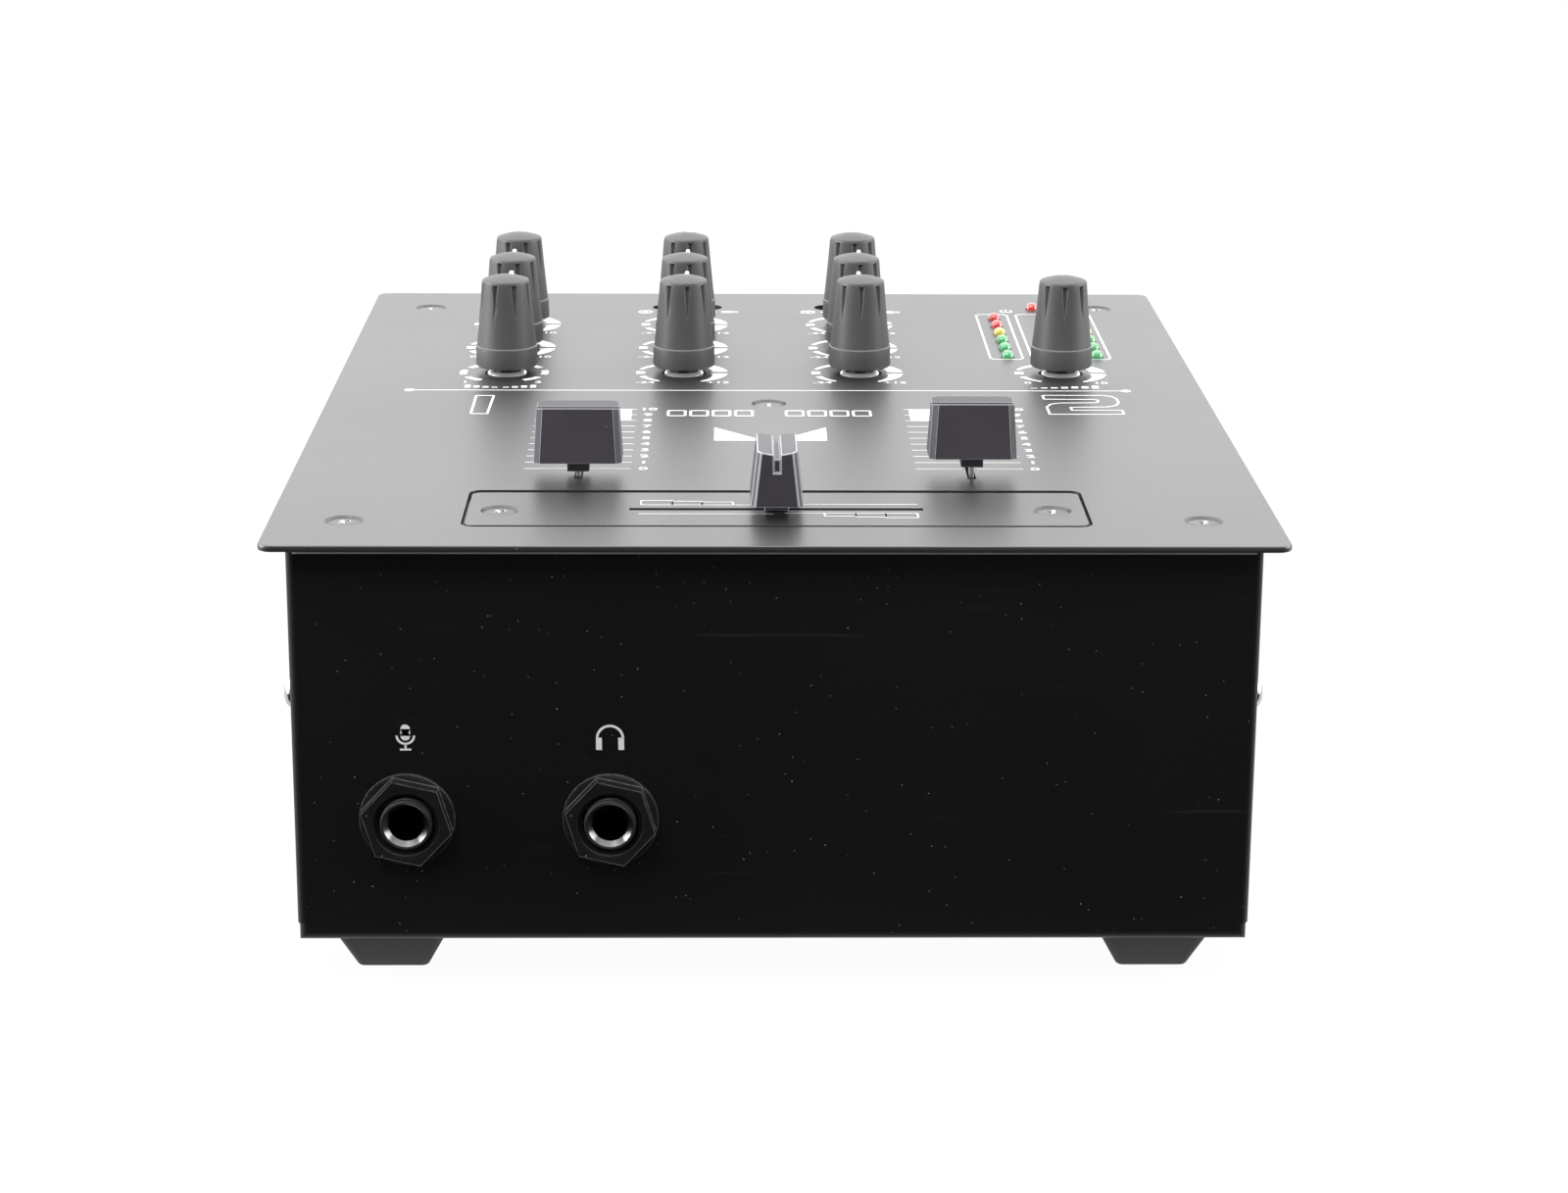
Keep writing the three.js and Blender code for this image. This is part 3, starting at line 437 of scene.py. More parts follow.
class Print:
    """Flat white printing, drawn in millimetres on a plane."""

    def __init__(self):
        self.polygons = []

    def polygon(self, points):
        self.polygons.append([tuple(p) for p in points])

    def bar(self, x0, x1, y0, y1):
        self.polygon([(x0, y0), (x1, y0), (x1, y1), (x0, y1)])

    def line(self, a, b, width):
        a, b = Vector(a), Vector(b)
        side = (b - a).normalized().orthogonal() * width / 2
        self.polygon([a - side, b - side, b + side, a + side])

    def path(self, points, width, closed=False):
        stops = list(points) + ([points[0]] if closed else [])
        for a, b in zip(stops, stops[1:]):
            self.line(a, b, width)

    def disc(self, x, y, radius, sides=24):
        angles = [2 * math.pi * i / sides for i in range(sides)]
        self.polygon([(x + radius * math.cos(t), y + radius * math.sin(t)) for t in angles])

    def arc(self, x, y, outer, start, end, width_start, width_end, steps=14):
        """A band with a fixed outer radius whose width grows from start to end, with angles in degrees."""
        for k in range(steps):
            corners = []
            for share, rim in ((k, outer), (k + 1, outer), (k + 1, None), (k, None)):
                angle = math.radians(start + (end - start) * share / steps)
                width = width_start + (width_end - width_start) * share / steps
                reach = outer if rim else outer - width
                corners.append((x + reach * math.cos(angle), y + reach * math.sin(angle)))
            if end < start:
                corners.reverse()
            self.polygon(corners)

    def number(self, text, x, y, height, width_scale=1.3):
        curve = bpy.data.curves.new("number", "FONT")
        curve.body, curve.align_x, curve.align_y = text, "CENTER", "CENTER"
        curve.size, curve.offset = height * 1.4, height * 0.02
        obj = bpy.data.objects.new("number", curve)
        bpy.context.scene.collection.objects.link(obj)
        bpy.context.view_layer.update()
        data = bpy.data.meshes.new_from_object(obj.evaluated_get(bpy.context.evaluated_depsgraph_get()))
        for face in data.polygons:
            points = [data.vertices[i].co for i in face.vertices]
            self.polygon([(x + p.x * width_scale, y + p.y) for p in points])
        bpy.data.objects.remove(obj)
        bpy.data.curves.remove(curve)
        bpy.data.meshes.remove(data)

    def piece(self, name, to_frame, material):
        build = Build()
        for points in self.polygons:
            build.add([to_frame(x, y) for x, y in points], [range(len(points))], material)
        build.piece(name, "chassis")


INK_LIFT = 0.03
on_panel = lambda x, y: (x, PANEL_FRONT + y, PANEL_TOP + INK_LIFT)
under_marks = lambda x, y: (x, PANEL_FRONT + y, PANEL_TOP + INK_LIFT / 2)
on_plate = lambda x, y: (x, PANEL_FRONT + y, PLATE_TOP + INK_LIFT)
on_front = lambda x, z: (x, TRAY_FRONT - INK_LIFT, z)
on_rear = lambda x, z: (-x, TRAY_REAR + INK_LIFT, z)


def spot(node):
    """Where a node stands on the panel, as (x from the centre, distance from the front edge)."""
    centre = middle(node)
    return centre.x, centre.y - PANEL_FRONT


TICKS, TICK_START, TICK_STEP = 11, 55.3, 4.95
TICK_REACH = 10.1  # each side of the slot
THIN = 0.27
SCALE_X = {1: -36.7, -1: 37.2}  # the scale's centre line, by the side its patch is on
DIAL_X = (-55.5, -18.0, 19.0, 62.0)


def print_fader_scales(art):
    for x in SCALE_X.values():
        slot_gap = 1.4
        for i in range(TICKS):
            y = TICK_START + TICK_STEP * i
            for side in (-1, 1):
                ends = sorted((x + side * slot_gap, x + side * TICK_REACH))
                art.bar(*ends, y - THIN / 2, y + THIN / 2)
            art.number(str(i), x + 12.4, y, 2.0)


def print_fader_patches(art):
    """A paler patch behind the three top marks, on each scale's inner side."""
    near, far = TICK_START + 8 * TICK_STEP, TICK_START + 10 * TICK_STEP
    for side, x in SCALE_X.items():
        art.bar(*sorted((x + side * 3.2, x + side * 9.1)), near, far)


def print_dial(art, x, y, radius, swept):
    """Swept dials thicken clockwise round the knob. Stepped dials are separate dashes."""
    if not swept:
        for turn in (0, 45, 90, 135, 180, 225, 315):
            art.arc(x, y, radius, turn + 14, turn - 14, 1.5, 1.5, 5)
        return
    art.arc(x, y, radius, 240, 203, 0.7, 1.5)
    art.arc(x, y, radius, 188, 172, 1.9, 1.9, 4)
    art.arc(x, y, radius, 160, 100, 0.9, 1.9)
    art.arc(x, y, radius, 80, 5, 2.1, 3.4)
    art.arc(x, y, radius, -5, -64, 3.7, 0.7)


def print_ramp(art, x, y, width, height, steps=7):
    """A row of bars that grow to the right: the usual sign for level."""
    pitch = width / steps
    for i in range(steps):
        left = x - width / 2 + i * pitch
        art.bar(left, left + pitch * 0.66, y, y + height * (i + 1) / steps)


def print_balance(art, x, y, width, height, steps=4):
    """Bars that grow towards both ends, for a control that blends two sources."""
    pitch = width / 2 / steps
    for side in (-1, 1):
        for i in range(steps):
            near = side * (pitch * (i + 0.3))
            far = side * (pitch * (i + 0.95))
            art.bar(*sorted((x + near, x + far)), y, y + height * (i + 1) / steps)


def print_dials(art):
    for node in KNOB_NODES:
        x, y = spot(node)
        x = min(DIAL_X, key=lambda column: abs(column - x))
        stepped = node == "knob_cue_mix"
        print_dial(art, x, y, 9.4 if stepped else 9.7, not stepped)
        if stepped:
            ends = ("1", "2")
        elif x < COLUMN_SPLIT[0] or x > COLUMN_SPLIT[1]:
            ends = ("0", "10")
        else:
            ends = ("-24", "+12")
        for side, text in zip((-1, 1), ends):
            art.number(text, x + side * 7.6, y - 9.4, 1.7)
        if stepped:
            print_balance(art, x, 124.4, 15, 2.4)
        if node == "knob_master_level":
            print_ramp(art, x, 124.4, 15, 2.4)


BLOCK_TWO = [(0, 15.6), (12.6, 15.6), (14.6, 14.8), (15.6, 12.6), (15.6, 9.4), (14.8, 7.2), (12.8, 6),
             (5, 5.7), (5, 3.3), (15.6, 3.3), (15.6, 0), (0, 0), (0, 6), (1, 8.2), (3, 9.2),
             (10.8, 9.4), (11.4, 10.2), (11.4, 11.4), (10.8, 12.2), (0, 12.3)]
NUMBER_LINE = 0.45


def print_channel_numbers(art):
    """A broad outlined 1 and 2 beyond the rule."""
    art.path([(-59.9, 100.6), (-56.6, 100.6), (-56.3, 117), (-59.9, 117)], NUMBER_LINE, closed=True)
    art.path([(56.4 + x * 0.96, 100.8 + y * 1.1) for x, y in BLOCK_TWO], NUMBER_LINE, closed=True)


def print_rules(art):
    y, reach = 122.0, 74
    art.bar(-reach, reach, y - 0.22, y + 0.22)
    for x in (-reach, reach):
        art.disc(x, y, 1.1)
    for side in (-1, 1):
        for k in range(4):
            inner = side * (3.4 + 4.5 * k)
            box = [(inner, 99), (inner + side * 3.4, 99), (inner + side * 3.4, 103.6), (inner, 103.6)]
            art.path(box, 0.5, closed=True)


def print_crossfade_sign(art):
    """Two opposed ramps, the usual sign for a crossfade."""
    for side in (-1, 1):
        art.polygon([(side * 11, 78), (side * 1.4, 78), (side * 11, 89)][::side])


def print_source_signs(art):
    """Above each selector, a record for the turntable position and a plug for the line position."""
    for node in ("selector_slider_1", "selector_slider_2"):
        x, y = COLUMN_OF[node], SOURCE_SIGN_Y
        art.arc(x - 9.5, y, 1.7, 0, 360, 0.5, 0.5, 20)
        art.disc(x - 9.5, y, 0.5)
        art.bar(x - 6.6, x - 3.2, y - 0.3, y + 0.3)
        art.bar(x + 3.2, x + 6.6, y - 0.3, y + 0.3)
        art.bar(x + 7.8, x + 10, y - 1, y + 1)
        for lift in (-0.6, 0.6):
            art.bar(x + 10, x + 11.6, y + lift - 0.22, y + lift + 0.22)


def print_power_sign(art, x, y, radius=1.5):
    art.arc(x, y, radius, 125, 415, 0.4, 0.4, 22)
    art.bar(x - 0.22, x + 0.22, y + 0.1, y + radius + 0.4)


def print_meters(art):
    near, far = 152.6, 201
    for x0, x1 in ((48.3, 55.3), (57.3, 74.2)):
        corner = 1
        outline = [(x0 + corner, near), (x1 - corner, near), (x1, near + corner), (x1, far - corner),
                   (x1 - corner, far), (x0 + corner, far), (x0, far - corner), (x0, near + corner)]
        art.path(outline, 0.42, closed=True)
    for i, text in enumerate(("-20", "-10", "-5", "0", "+3", "+6")):
        art.number(text, 64, METER_FIRST + METER_PITCH * i, 2.0)


def print_crossfader(art):
    """Boxes that step down towards the middle: beyond the slot's left half, before its right half."""
    centre, slot = spot("crossfader")
    centre += 0.4
    for side in (-1, 1):
        inner = slot - side * 2.9
        edges = [centre + side * x for x in (24.9, 19.2, 13.8, 8.2)]
        for (x0, x1), height in zip(zip(edges, edges[1:]), (3.1, 2.6, 2.1)):
            outer = inner - side * height
            art.path([(x0, inner), (x0, outer), (x1, outer), (x1, inner)], THIN, closed=True)
        art.bar(*sorted((edges[3], centre + side)), inner - THIN / 2, inner + THIN / 2)
        far_side = slot + side * 3.4
        art.bar(*sorted((centre + side * 25.2, centre + side)), far_side - THIN / 2, far_side + THIN / 2)


def print_microphone(art, x, z):
    """A round-headed microphone in its stand."""
    art.disc(x, z + 1.3, 0.85, 20)
    art.bar(x - 0.85, x + 0.85, z, z + 1.3)
    art.disc(x, z, 0.85, 20)
    art.arc(x, z + 0.1, 1.75, 180, 360, 0.4, 0.4, 14)
    art.bar(x - 0.2, x + 0.2, z - 2.4, z - 1.5)
    art.bar(x - 1, x + 1, z - 2.7, z - 2.35)


def print_headphones(art, x, z):
    art.arc(x, z - 0.4, 2.5, 0, 180, 0.45, 0.45, 18)
    for side in (-1, 1):
        art.bar(*sorted((x + side * 1.45, x + side * 2.5)), z - 2.6, z - 0.3)


COLUMN_SPLIT = (-40, 40)
COLUMN_OF = {"selector_slider_1": middle("knob_gain_1").x, "selector_slider_2": middle("knob_gain_2").x}
SOURCE_SIGN_Y = 203.2
LAMP_COUNT = 6
METER_PITCH = (high("level_meter_left").y - low("level_meter_left").y) / LAMP_COUNT
METER_FIRST = low("level_meter_left").y - PANEL_FRONT + METER_PITCH / 2

panel_art = Print()
for draw in (print_fader_scales, print_dials, print_channel_numbers, print_rules, print_crossfade_sign,
             print_source_signs, print_meters):
    draw(panel_art)
print_power_sign(panel_art, 55.5, 204.5)
panel_art.piece("panel_printing", on_panel, INK)
patch_art = Print()
print_fader_patches(patch_art)
patch_art.piece("patch_printing", under_marks, PALE_INK)
plate_art = Print()
print_crossfader(plate_art)
plate_art.piece("plate_printing", on_plate, INK)

front_art = Print()
LABEL_Z = PANEL_TOP - 36
print_microphone(front_art, middle("mic_jack").x, LABEL_Z)
print_headphones(front_art, middle("phones_jack").x, LABEL_Z)
front_art.piece("front_printing", on_front, INK)

# ---------------------------------------------------------------- sheet metal, caps and levers

refined("top_panel", PANEL_PAINT, 0.3, openings=0.07)
refined("crossfader_plate", PANEL_PAINT, 0.07)
refined("chassis_tray", CASE_PAINT, 0.25)
# The caps' rounded edges take the pale cap edge material, a painted highlight.
for node in ("fader_cap_1", "fader_cap_2", "crossfader_cap"):
    refined(node, CAP_VIOLET, 0.24, 2, CAP_EDGE_HIGHLIGHT)
for node in ("fader_lever_1", "fader_lever_2", "crossfader_lever"):
    refined(node, LEVER_STEEL, 0.12, 1)
for node in ("channel_fader_1", "channel_fader_2", "crossfader", "selector_slider_1", "selector_slider_2"):
    refined(node, BLACK_PLASTIC, 0.25, 2)
refined("power_rocker", BLACK_PLASTIC, 0.35, 3)
for node, obj in NODES.items():
    if node.startswith("shaft_"):
        obj.data.materials.clear()
        obj.data.materials.append(BLACK_PLASTIC)

# A thin pale strip on the tray's upper rim, below the panel's edge, whose pale colour is a painted
# highlight.
rim = Build()
rim_half = (high("chassis_tray").x - low("chassis_tray").x) / 2 - 1.4
rim_top = PANEL_TOP - 1.3
rim_bottom = rim_top - 1.28
rim_box = brick(-rim_half, rim_half, TRAY_FRONT - 0.12, TRAY_FRONT + 0.3, rim_bottom, rim_top, 0.06)
rim.add(*rim_box, RIM_HIGHLIGHT)
rim.piece("tray_rim_front", "chassis", slot="black_powder_coat")

# ---------------------------------------------------------------- knobs

KNOB_FLUTES, FLUTE_BOTTOM, FLUTE_TOP = 8, 12.4, 19.2
KNOB_RINGS = [  # height above the panel, radius
    (1.7, 5.9), (1.72, 6.2), (1.85, 6.4), (2.1, 6.5), (5.6, 6.42), (5.72, 6.4), (5.8, 6.46), (6.0, 6.47),
    (6.1, 6.33), (6.2, 6.24), (8.5, 6.0), (10.6, 5.79), (12.4, 5.62), (13.9, 5.47), (15, 5.36), (16.4, 5.25),
    (17.8, 5.13), (19.2, 5.01), (19.42, 4.98), (19.7, 4.93), (19.93, 4.8), (20.06, 4.58), (20.28, 3.9),
    (20.6, 2.8), (20.85, 1.6), (20.96, 0.5)]
BAND_ROWS = range(6, 9)


def knob_shape():
    rings = []
    for z, radius in KNOB_RINGS:
        open_share = max(0.0, min(1.0, (z - FLUTE_BOTTOM) / (FLUTE_TOP - FLUTE_BOTTOM)))
        half = math.radians(1.0 + 6.0 * open_share)
        depth = 0.75 * open_share**0.8 if z <= FLUTE_TOP else 0.0
        ring = []
        step = 2 * math.pi / KNOB_FLUTES
        for flute in range(KNOB_FLUTES):
            centre = (flute + 0.5) * step
            for offset, dip in ((-1.12, 0), (-1, 0.06), (-0.15, 1), (0.15, 1), (1, 0.06), (1.12, 0)):
                ring.append((centre + offset * half, dip * depth))
            for share in (1, 2, 3, 4, 5, 6):
                ring.append((centre + half * 1.12 + (step - 2.24 * half) * share / 7, 0))
        rings.append([((radius - dip) * math.cos(a), (radius - dip) * math.sin(a), z) for a, dip in ring])
    return skin(rings)


def knob_data(pointer_turn):
    verts, faces = knob_shape()
    around = len(verts) // len(KNOB_RINGS)
    build = Build()
    build.add(verts, faces, KNOB_GREY)
    build.materials.append(BAND_GREY)
    for row in BAND_ROWS:
        for i in range(around):
            build.slots[(row - 1) * around + i] = 1
    # The pointer is a white rounded fin let into the side and standing a little above the rim.
    fin = [(5.5, 13.5), (5.3, 16), (5.15, 19.4), (5.0, 20.3), (4.75, 20.8), (4.3, 20.95), (3.6, 20.5),
           (4.2, 13.5)]
    turn = Matrix.Rotation(math.radians(pointer_turn), 3, "Z")
    sides = []
    for x, shrink in ((0.4, 0.22), (0.32, 0.05), (0.2, 0), (-0.2, 0), (-0.32, 0.05), (-0.4, 0.22)):
        sides.append([(x, y - shrink, z - shrink) for y, z in fin])
    build.add(*moved(skin(sides), turn=turn), POINTER_WHITE)
    return build


FLUTE_TURNS = {"cue_mix": 0, "cue_level": 8, "mic_level": 3, "bass_1": 14, "treble_1": 10, "gain_1": 12,
               "bass_2": 22, "treble_2": 15, "gain_2": 18, "master_level": 22.5}
POINTER_TURNS = {"cue_mix": 14, "cue_level": 3, "mic_level": 5, "bass_1": 9, "treble_1": 8, "gain_1": 8,
                 "bass_2": -4, "treble_2": 9, "gain_2": 6, "master_level": 5}
for node in KNOB_NODES:
    name = node.removeprefix("knob_")
    turn = Matrix.Rotation(math.radians(-FLUTE_TURNS[name]), 4, "Z")
    at = (*middle(node).xy, PANEL_TOP)
    build = knob_data(FLUTE_TURNS[name] - POINTER_TURNS[name])
    build.piece(node + "_finished", NODES[node]["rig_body"], at, turn, (node,), "knob_soft_grey", 28)

# ---------------------------------------------------------------- screws


def cross_cutters(top, depth, reach):
    """Two tapered blades, crossed, that sink into a screw head."""
    blades = []
    for turn in (0, math.pi / 2):
        wide, narrow = 0.42, 0.3
        rings = [[(-r, -w, z), (r, -w, z), (r, w, z), (-r, w, z)]
                 for z, r, w in ((top - depth, reach * 0.35, narrow), (top + 0.5, reach, wide))]
        blades.append(moved(skin(rings), turn=Matrix.Rotation(turn, 3, "Z")))
    return blades


def screw_data(pan):
    shank = 1.4
    if pan:
        head, top, recess = 2.75, 1.88, 1.15
        profile = [(shank, -6), (shank, 0), (head - 0.1, 0), (head, 0.12), (head - 0.05, 0.5),
                   (head * 0.9, 0.95), (head * 0.75, 1.35), (head * 0.5, 1.68), (head * 0.25, 1.83),
                   (0.3, top)]
    else:
        head, top, recess = 3.0, 0.0, 0.9
        profile = [(shank, -6), (shank, -0.8), (head - 0.15, -0.2), (head, -0.15), (head, -0.1),
                   (head - 0.12, -0.03), (head * 0.75, top), (0.3, top)]
    return carve(turned(profile, 48), *cross_cutters(top, recess, 1.6))


def black_screw():
    """A countersunk head whose black finish is worn off inside the cross."""
    verts, faces = COUNTERSUNK
    build = Build().add(verts, faces, SCREW_BLACK)
    build.materials.append(SCREW_STEEL)
    for index, face in enumerate(faces):
        centre = sum((verts[i] for i in face), Vector()) / len(face)
        if centre.xy.length < 1.7 and -0.95 < centre.z < -0.02:
            build.slots[index] = 1
    return build


HEAD_CROWN = 0.22  # a countersunk head stands this much above its solid's flat top
COUNTERSUNK, PAN = screw_data(False), screw_data(True)
for node in NODES:
    turn = Matrix.Rotation(math.radians((sum(map(ord, node)) * 37) % 90), 4, "Z")
    if node.startswith(("panel_screw_", "plate_screw_")):
        at = (*middle(node).xy, high(node).z + HEAD_CROWN)
        black_screw().piece(node + "_finished", "chassis", at, turn, (node,), "panel_screw_steel", 30)
    if node.startswith("side_screw_"):
        right = middle(node).x > 0
        seat = high(node).x - 1.9 if right else low(node).x + 1.9
        facing = (TO_RIGHT if right else TO_LEFT).to_4x4()
        build = Build().add(*PAN, NICKEL)
        at = (seat, middle(node).y, middle(node).z)
        build.piece(node + "_finished", "chassis", at, facing @ turn, (node,), "nickel_plate", 30)

# ---------------------------------------------------------------- feet


def rounded_square(half, corner, z, steps=6):
    points = []
    for quarter, (sx, sy) in enumerate(((1, 1), (-1, 1), (-1, -1), (1, -1))):
        for k in range(steps + 1):
            angle = math.pi / 2 * (quarter + k / steps)
            points.append((sx * (half - corner) + corner * math.cos(angle),
                           sy * (half - corner) + corner * math.sin(angle), z))
    return points


def foot_shape(top, top_half, bottom_half):
    """A tapered square block with rounded corners and a hollow for its screw."""
    at = lambda z: bottom_half + (top_half - bottom_half) * z / top
    rings = [rounded_square(at(0) - 0.35, 1.0, 0), rounded_square(at(0.1) - 0.12, 1.2, 0.1),
             rounded_square(at(0.35), 1.3, 0.35)]
    rings += [rounded_square(at(z), 1.3 + z * 0.1, z) for z in (2, 5, top - 0.5)]
    rings += [rounded_square(top_half - 0.1, 2.1, top - 0.15), rounded_square(top_half - 0.25, 2.1, top)]
    return carve(skin(rings), turned([(2.4, -1), (2.4, 2.4)], 32))


for node in NODES:
    if not node.startswith("foot_"):
        continue
    top, top_half = high(node).z, (high(node).x - low(node).x) / 2
    build = Build().add(*foot_shape(top, top_half, FOOT_BOTTOM / 2), RUBBER)
    head = [(0.3, 0.95), (1.2, 0.98), (1.8, 1.15), (2.05, 1.5), (2.1, 2.4), (2.1, 2.5)]
    upside_down = Matrix.Rotation(math.pi, 3, "X")
    recess = [moved(cutter, z=1.4, turn=upside_down) for cutter in cross_cutters(0.6, 1.0, 1.2)]
    build.add(*carve(turned(head, 40), *recess), SCREW_STEEL)
    build.piece(node + "_finished", "chassis", (*middle(node).xy, 0), None, (node,), "foot_rubber", 40)

# ---------------------------------------------------------------- jacks and nuts

HEX_TURN = Matrix.Rotation(math.radians(47), 3, "Z")


def hexagon(flats):
    return lambda angle: flats / 2 / math.cos(angle % (math.pi / 3) - math.pi / 6)


def jack_pieces(name):
    centre = middle(name)
    seat = high(name + "_nut").y
    thick = seat - low(name + "_nut").y
    wall = seat + 1.1
    reach = wall - low(name).y
    z = middle(name + "_nut").z
    at = (centre.x, 0, z)
    nut = Build()
    washer = [(5.1, 0), (8.2, 0), (8.5, 0.1), (8.6, 0.3), (8.5, 0.55), (8.2, 0.65), (5.1, 0.65)]
    nut.add(*moved(turned(washer, 72, closed=True), y=seat, turn=TO_FRONT), SHINY_BLACK)
    crown = hexagon(14.3)
    body = [(5.05, 0.6), (8.6, 0.6), (8.6, thick - 0.12), (8.26, thick), (6.1, thick), (5.9, thick - 0.06),
            (5.05, thick - 1.1)]
    shape = turned(body, 72, closed=True, squash=lambda angle: min(8.34, crown(angle)))
    nut.add(*moved(shape, y=seat, turn=TO_FRONT @ HEX_TURN), SHINY_BLACK)
    nut.piece(name + "_nut_finished", "chassis", at, None, (name + "_nut",), "gloss_black", 30)

    jack = Build()
    bush = [(3.3, -22), (4.4, -22), (4.4, 0), (4.65, 0.1)]
    for k in range(8):
        z0 = 0.3 + k * 0.5
        if z0 + 0.5 < reach - 0.5:
            bush += [(4.45, z0), (4.68, z0 + 0.25)]
    bush += [(4.6, reach - 0.35), (4.45, reach - 0.08), (4.3, reach), (4.15, reach - 0.03),
             (3.3, reach - 0.9)]
    jack.add(*moved(turned(bush, 72, closed=True), y=wall, turn=TO_FRONT), BLACK_PLASTIC)
    collar = [(3.18, -20), (3.28, -20), (3.28, reach - 0.95), (4.13, reach - 0.06), (4.0, reach - 0.02),
              (3.18, reach - 0.95)]
    jack.add(*moved(turned(collar, 72, closed=True), y=wall, turn=TO_FRONT), JACK_STEEL)
    x0, x1 = low(name).x - centre.x, high(name).x - centre.x
    case = carve(brick(x0, x1, wall + 0.2, high(name).y, low(name).z - z, high(name).z - z, 0.5),
                 moved(turned([(4.0, 0), (4.0, 23)], 48), y=wall - 0.5, turn=TO_REAR))
    jack.add(*case, BLACK_PLASTIC)
    contact = brick(-1.2, 1.2, wall + 12, wall + 15, 2.2, 3.1, 0.3)
    jack.add(*contact, NICKEL)
    jack.piece(name + "_finished", "chassis", at, None, (name,), "black_plastic", 30)


for jack_name in ("mic_jack", "phones_jack"):
    jack_pieces(jack_name)

# ---------------------------------------------------------------- lamps


def lamp_strip(node, slot, lamps):
    """A carrier with domed lamps, each given by its x, y and material."""
    build = Build()
    bottom, top = low(node), high(node)
    build.add(*brick(bottom.x, top.x, bottom.y, top.y, bottom.z, bottom.z + 5.6, 0.3), BLACK_PLASTIC)
    radius = LAMP_RADIUS
    spring = top.z - radius
    dome = [(radius, bottom.z + 5), (radius, spring)]
    for t in (0.25, 0.5, 0.75, 1.0, 1.25, 1.45):
        dome.append((radius * math.cos(t), spring + radius * math.sin(t)))
    for x, y, material in lamps:
        build.add(*moved(turned(dome, 32), x, y), material)
    build.piece(node + "_finished", "chassis", stands_for=(node,), slot=slot, smooth=45)


LAMP_RADIUS = 1.35
LAMP_ORDER = [LAMP_GREEN] * 3 + [LAMP_AMBER] + [LAMP_RED] * 2
for node in ("level_meter_left", "level_meter_right"):
    x, start = middle(node).x, low(node).y
    spots = [(x, start + METER_PITCH * (i + 0.5), look) for i, look in enumerate(LAMP_ORDER)]
    lamp_strip(node, "green_lens", spots)
lamp_strip("power_lamp", "red_lens", [(*middle("power_lamp").xy, LAMP_RED)])

# ---------------------------------------------------------------- circuit boards


def control_board():
    bottom, top = low("control_board"), high("control_board")
    face = bottom.z + 1.6
    build = Build()
    slab = brick(bottom.x, top.x, bottom.y, top.y, bottom.z, face, 0.15, 1)
    pillar = moved(turned([(5, -5), (5, 5)], 32), *middle("panel_screw_centre").xy, face)
    build.add(*carve(slab, pillar), GREEN_BOARD)
    under = low("top_panel").z + 1.6
    for node in KNOB_NODES:
        x, y, _ = middle(node)
        build.add(*brick(x - 5.5, x + 5.5, y - 5.5, y + 5.5, face - 0.1, under - 1.2, 0.5), LEVER_STEEL)
        bush = [(3.35, -3), (4.1, -3)]
        bush += [point for k in range(5) for point in ((3.92, -2.6 + k * 0.55), (4.1, -2.35 + k * 0.55))]
        bush += [(4.1, 0.02), (3.75, 0.47), (3.62, 0.54), (3.4, 0.55), (3.35, 0.5)]
        # The bush ring glows faintly: painted light.
        build.add(*moved(turned(bush, 48, closed=True), x, y, PANEL_TOP), BUSH_METAL_GLOW)
    for node in ("selector_slider_1", "selector_slider_2"):
        x, y, _ = middle(node)
        x += 2
        outer = brick(x - 9, x + 9, y - 5, y + 5, face - 0.1, under - 0.3, 0.3)
        well = brick(x - 8.2, x + 8.2, y - 3.7, y + 3.7, under - 2.9, under + 1, 0)
        build.add(*carve(outer, well), BLACK_PLASTIC)
    build.piece("control_board_finished", "chassis", stands_for=("control_board",), slot="circuit_board",
                smooth=30)


def phono_socket(build, x, z, length, insert):
    at = dict(x=x, y=TRAY_REAR, z=z, turn=TO_REAR)
    shell = [(3.1, -0.9), (4.15, -0.9), (4.15, length - 0.3), (3.95, length), (3.6, length),
             (3.5, length - 0.2)]
    build.add(*moved(turned(shell, 48, closed=True), **at), NICKEL)
    ring = [(1.75, -0.8), (3.45, -0.8), (3.45, length - 0.5), (1.9, length - 0.5), (1.75, length - 0.7)]
    build.add(*moved(turned(ring, 40, closed=True), **at), insert)
    flange = [(4.2, 0.1), (5.3, 0.1), (5.3, 0.5), (5.1, 0.75), (4.2, 0.75)]
    build.add(*moved(turned(flange, 48, closed=True), **at), insert)


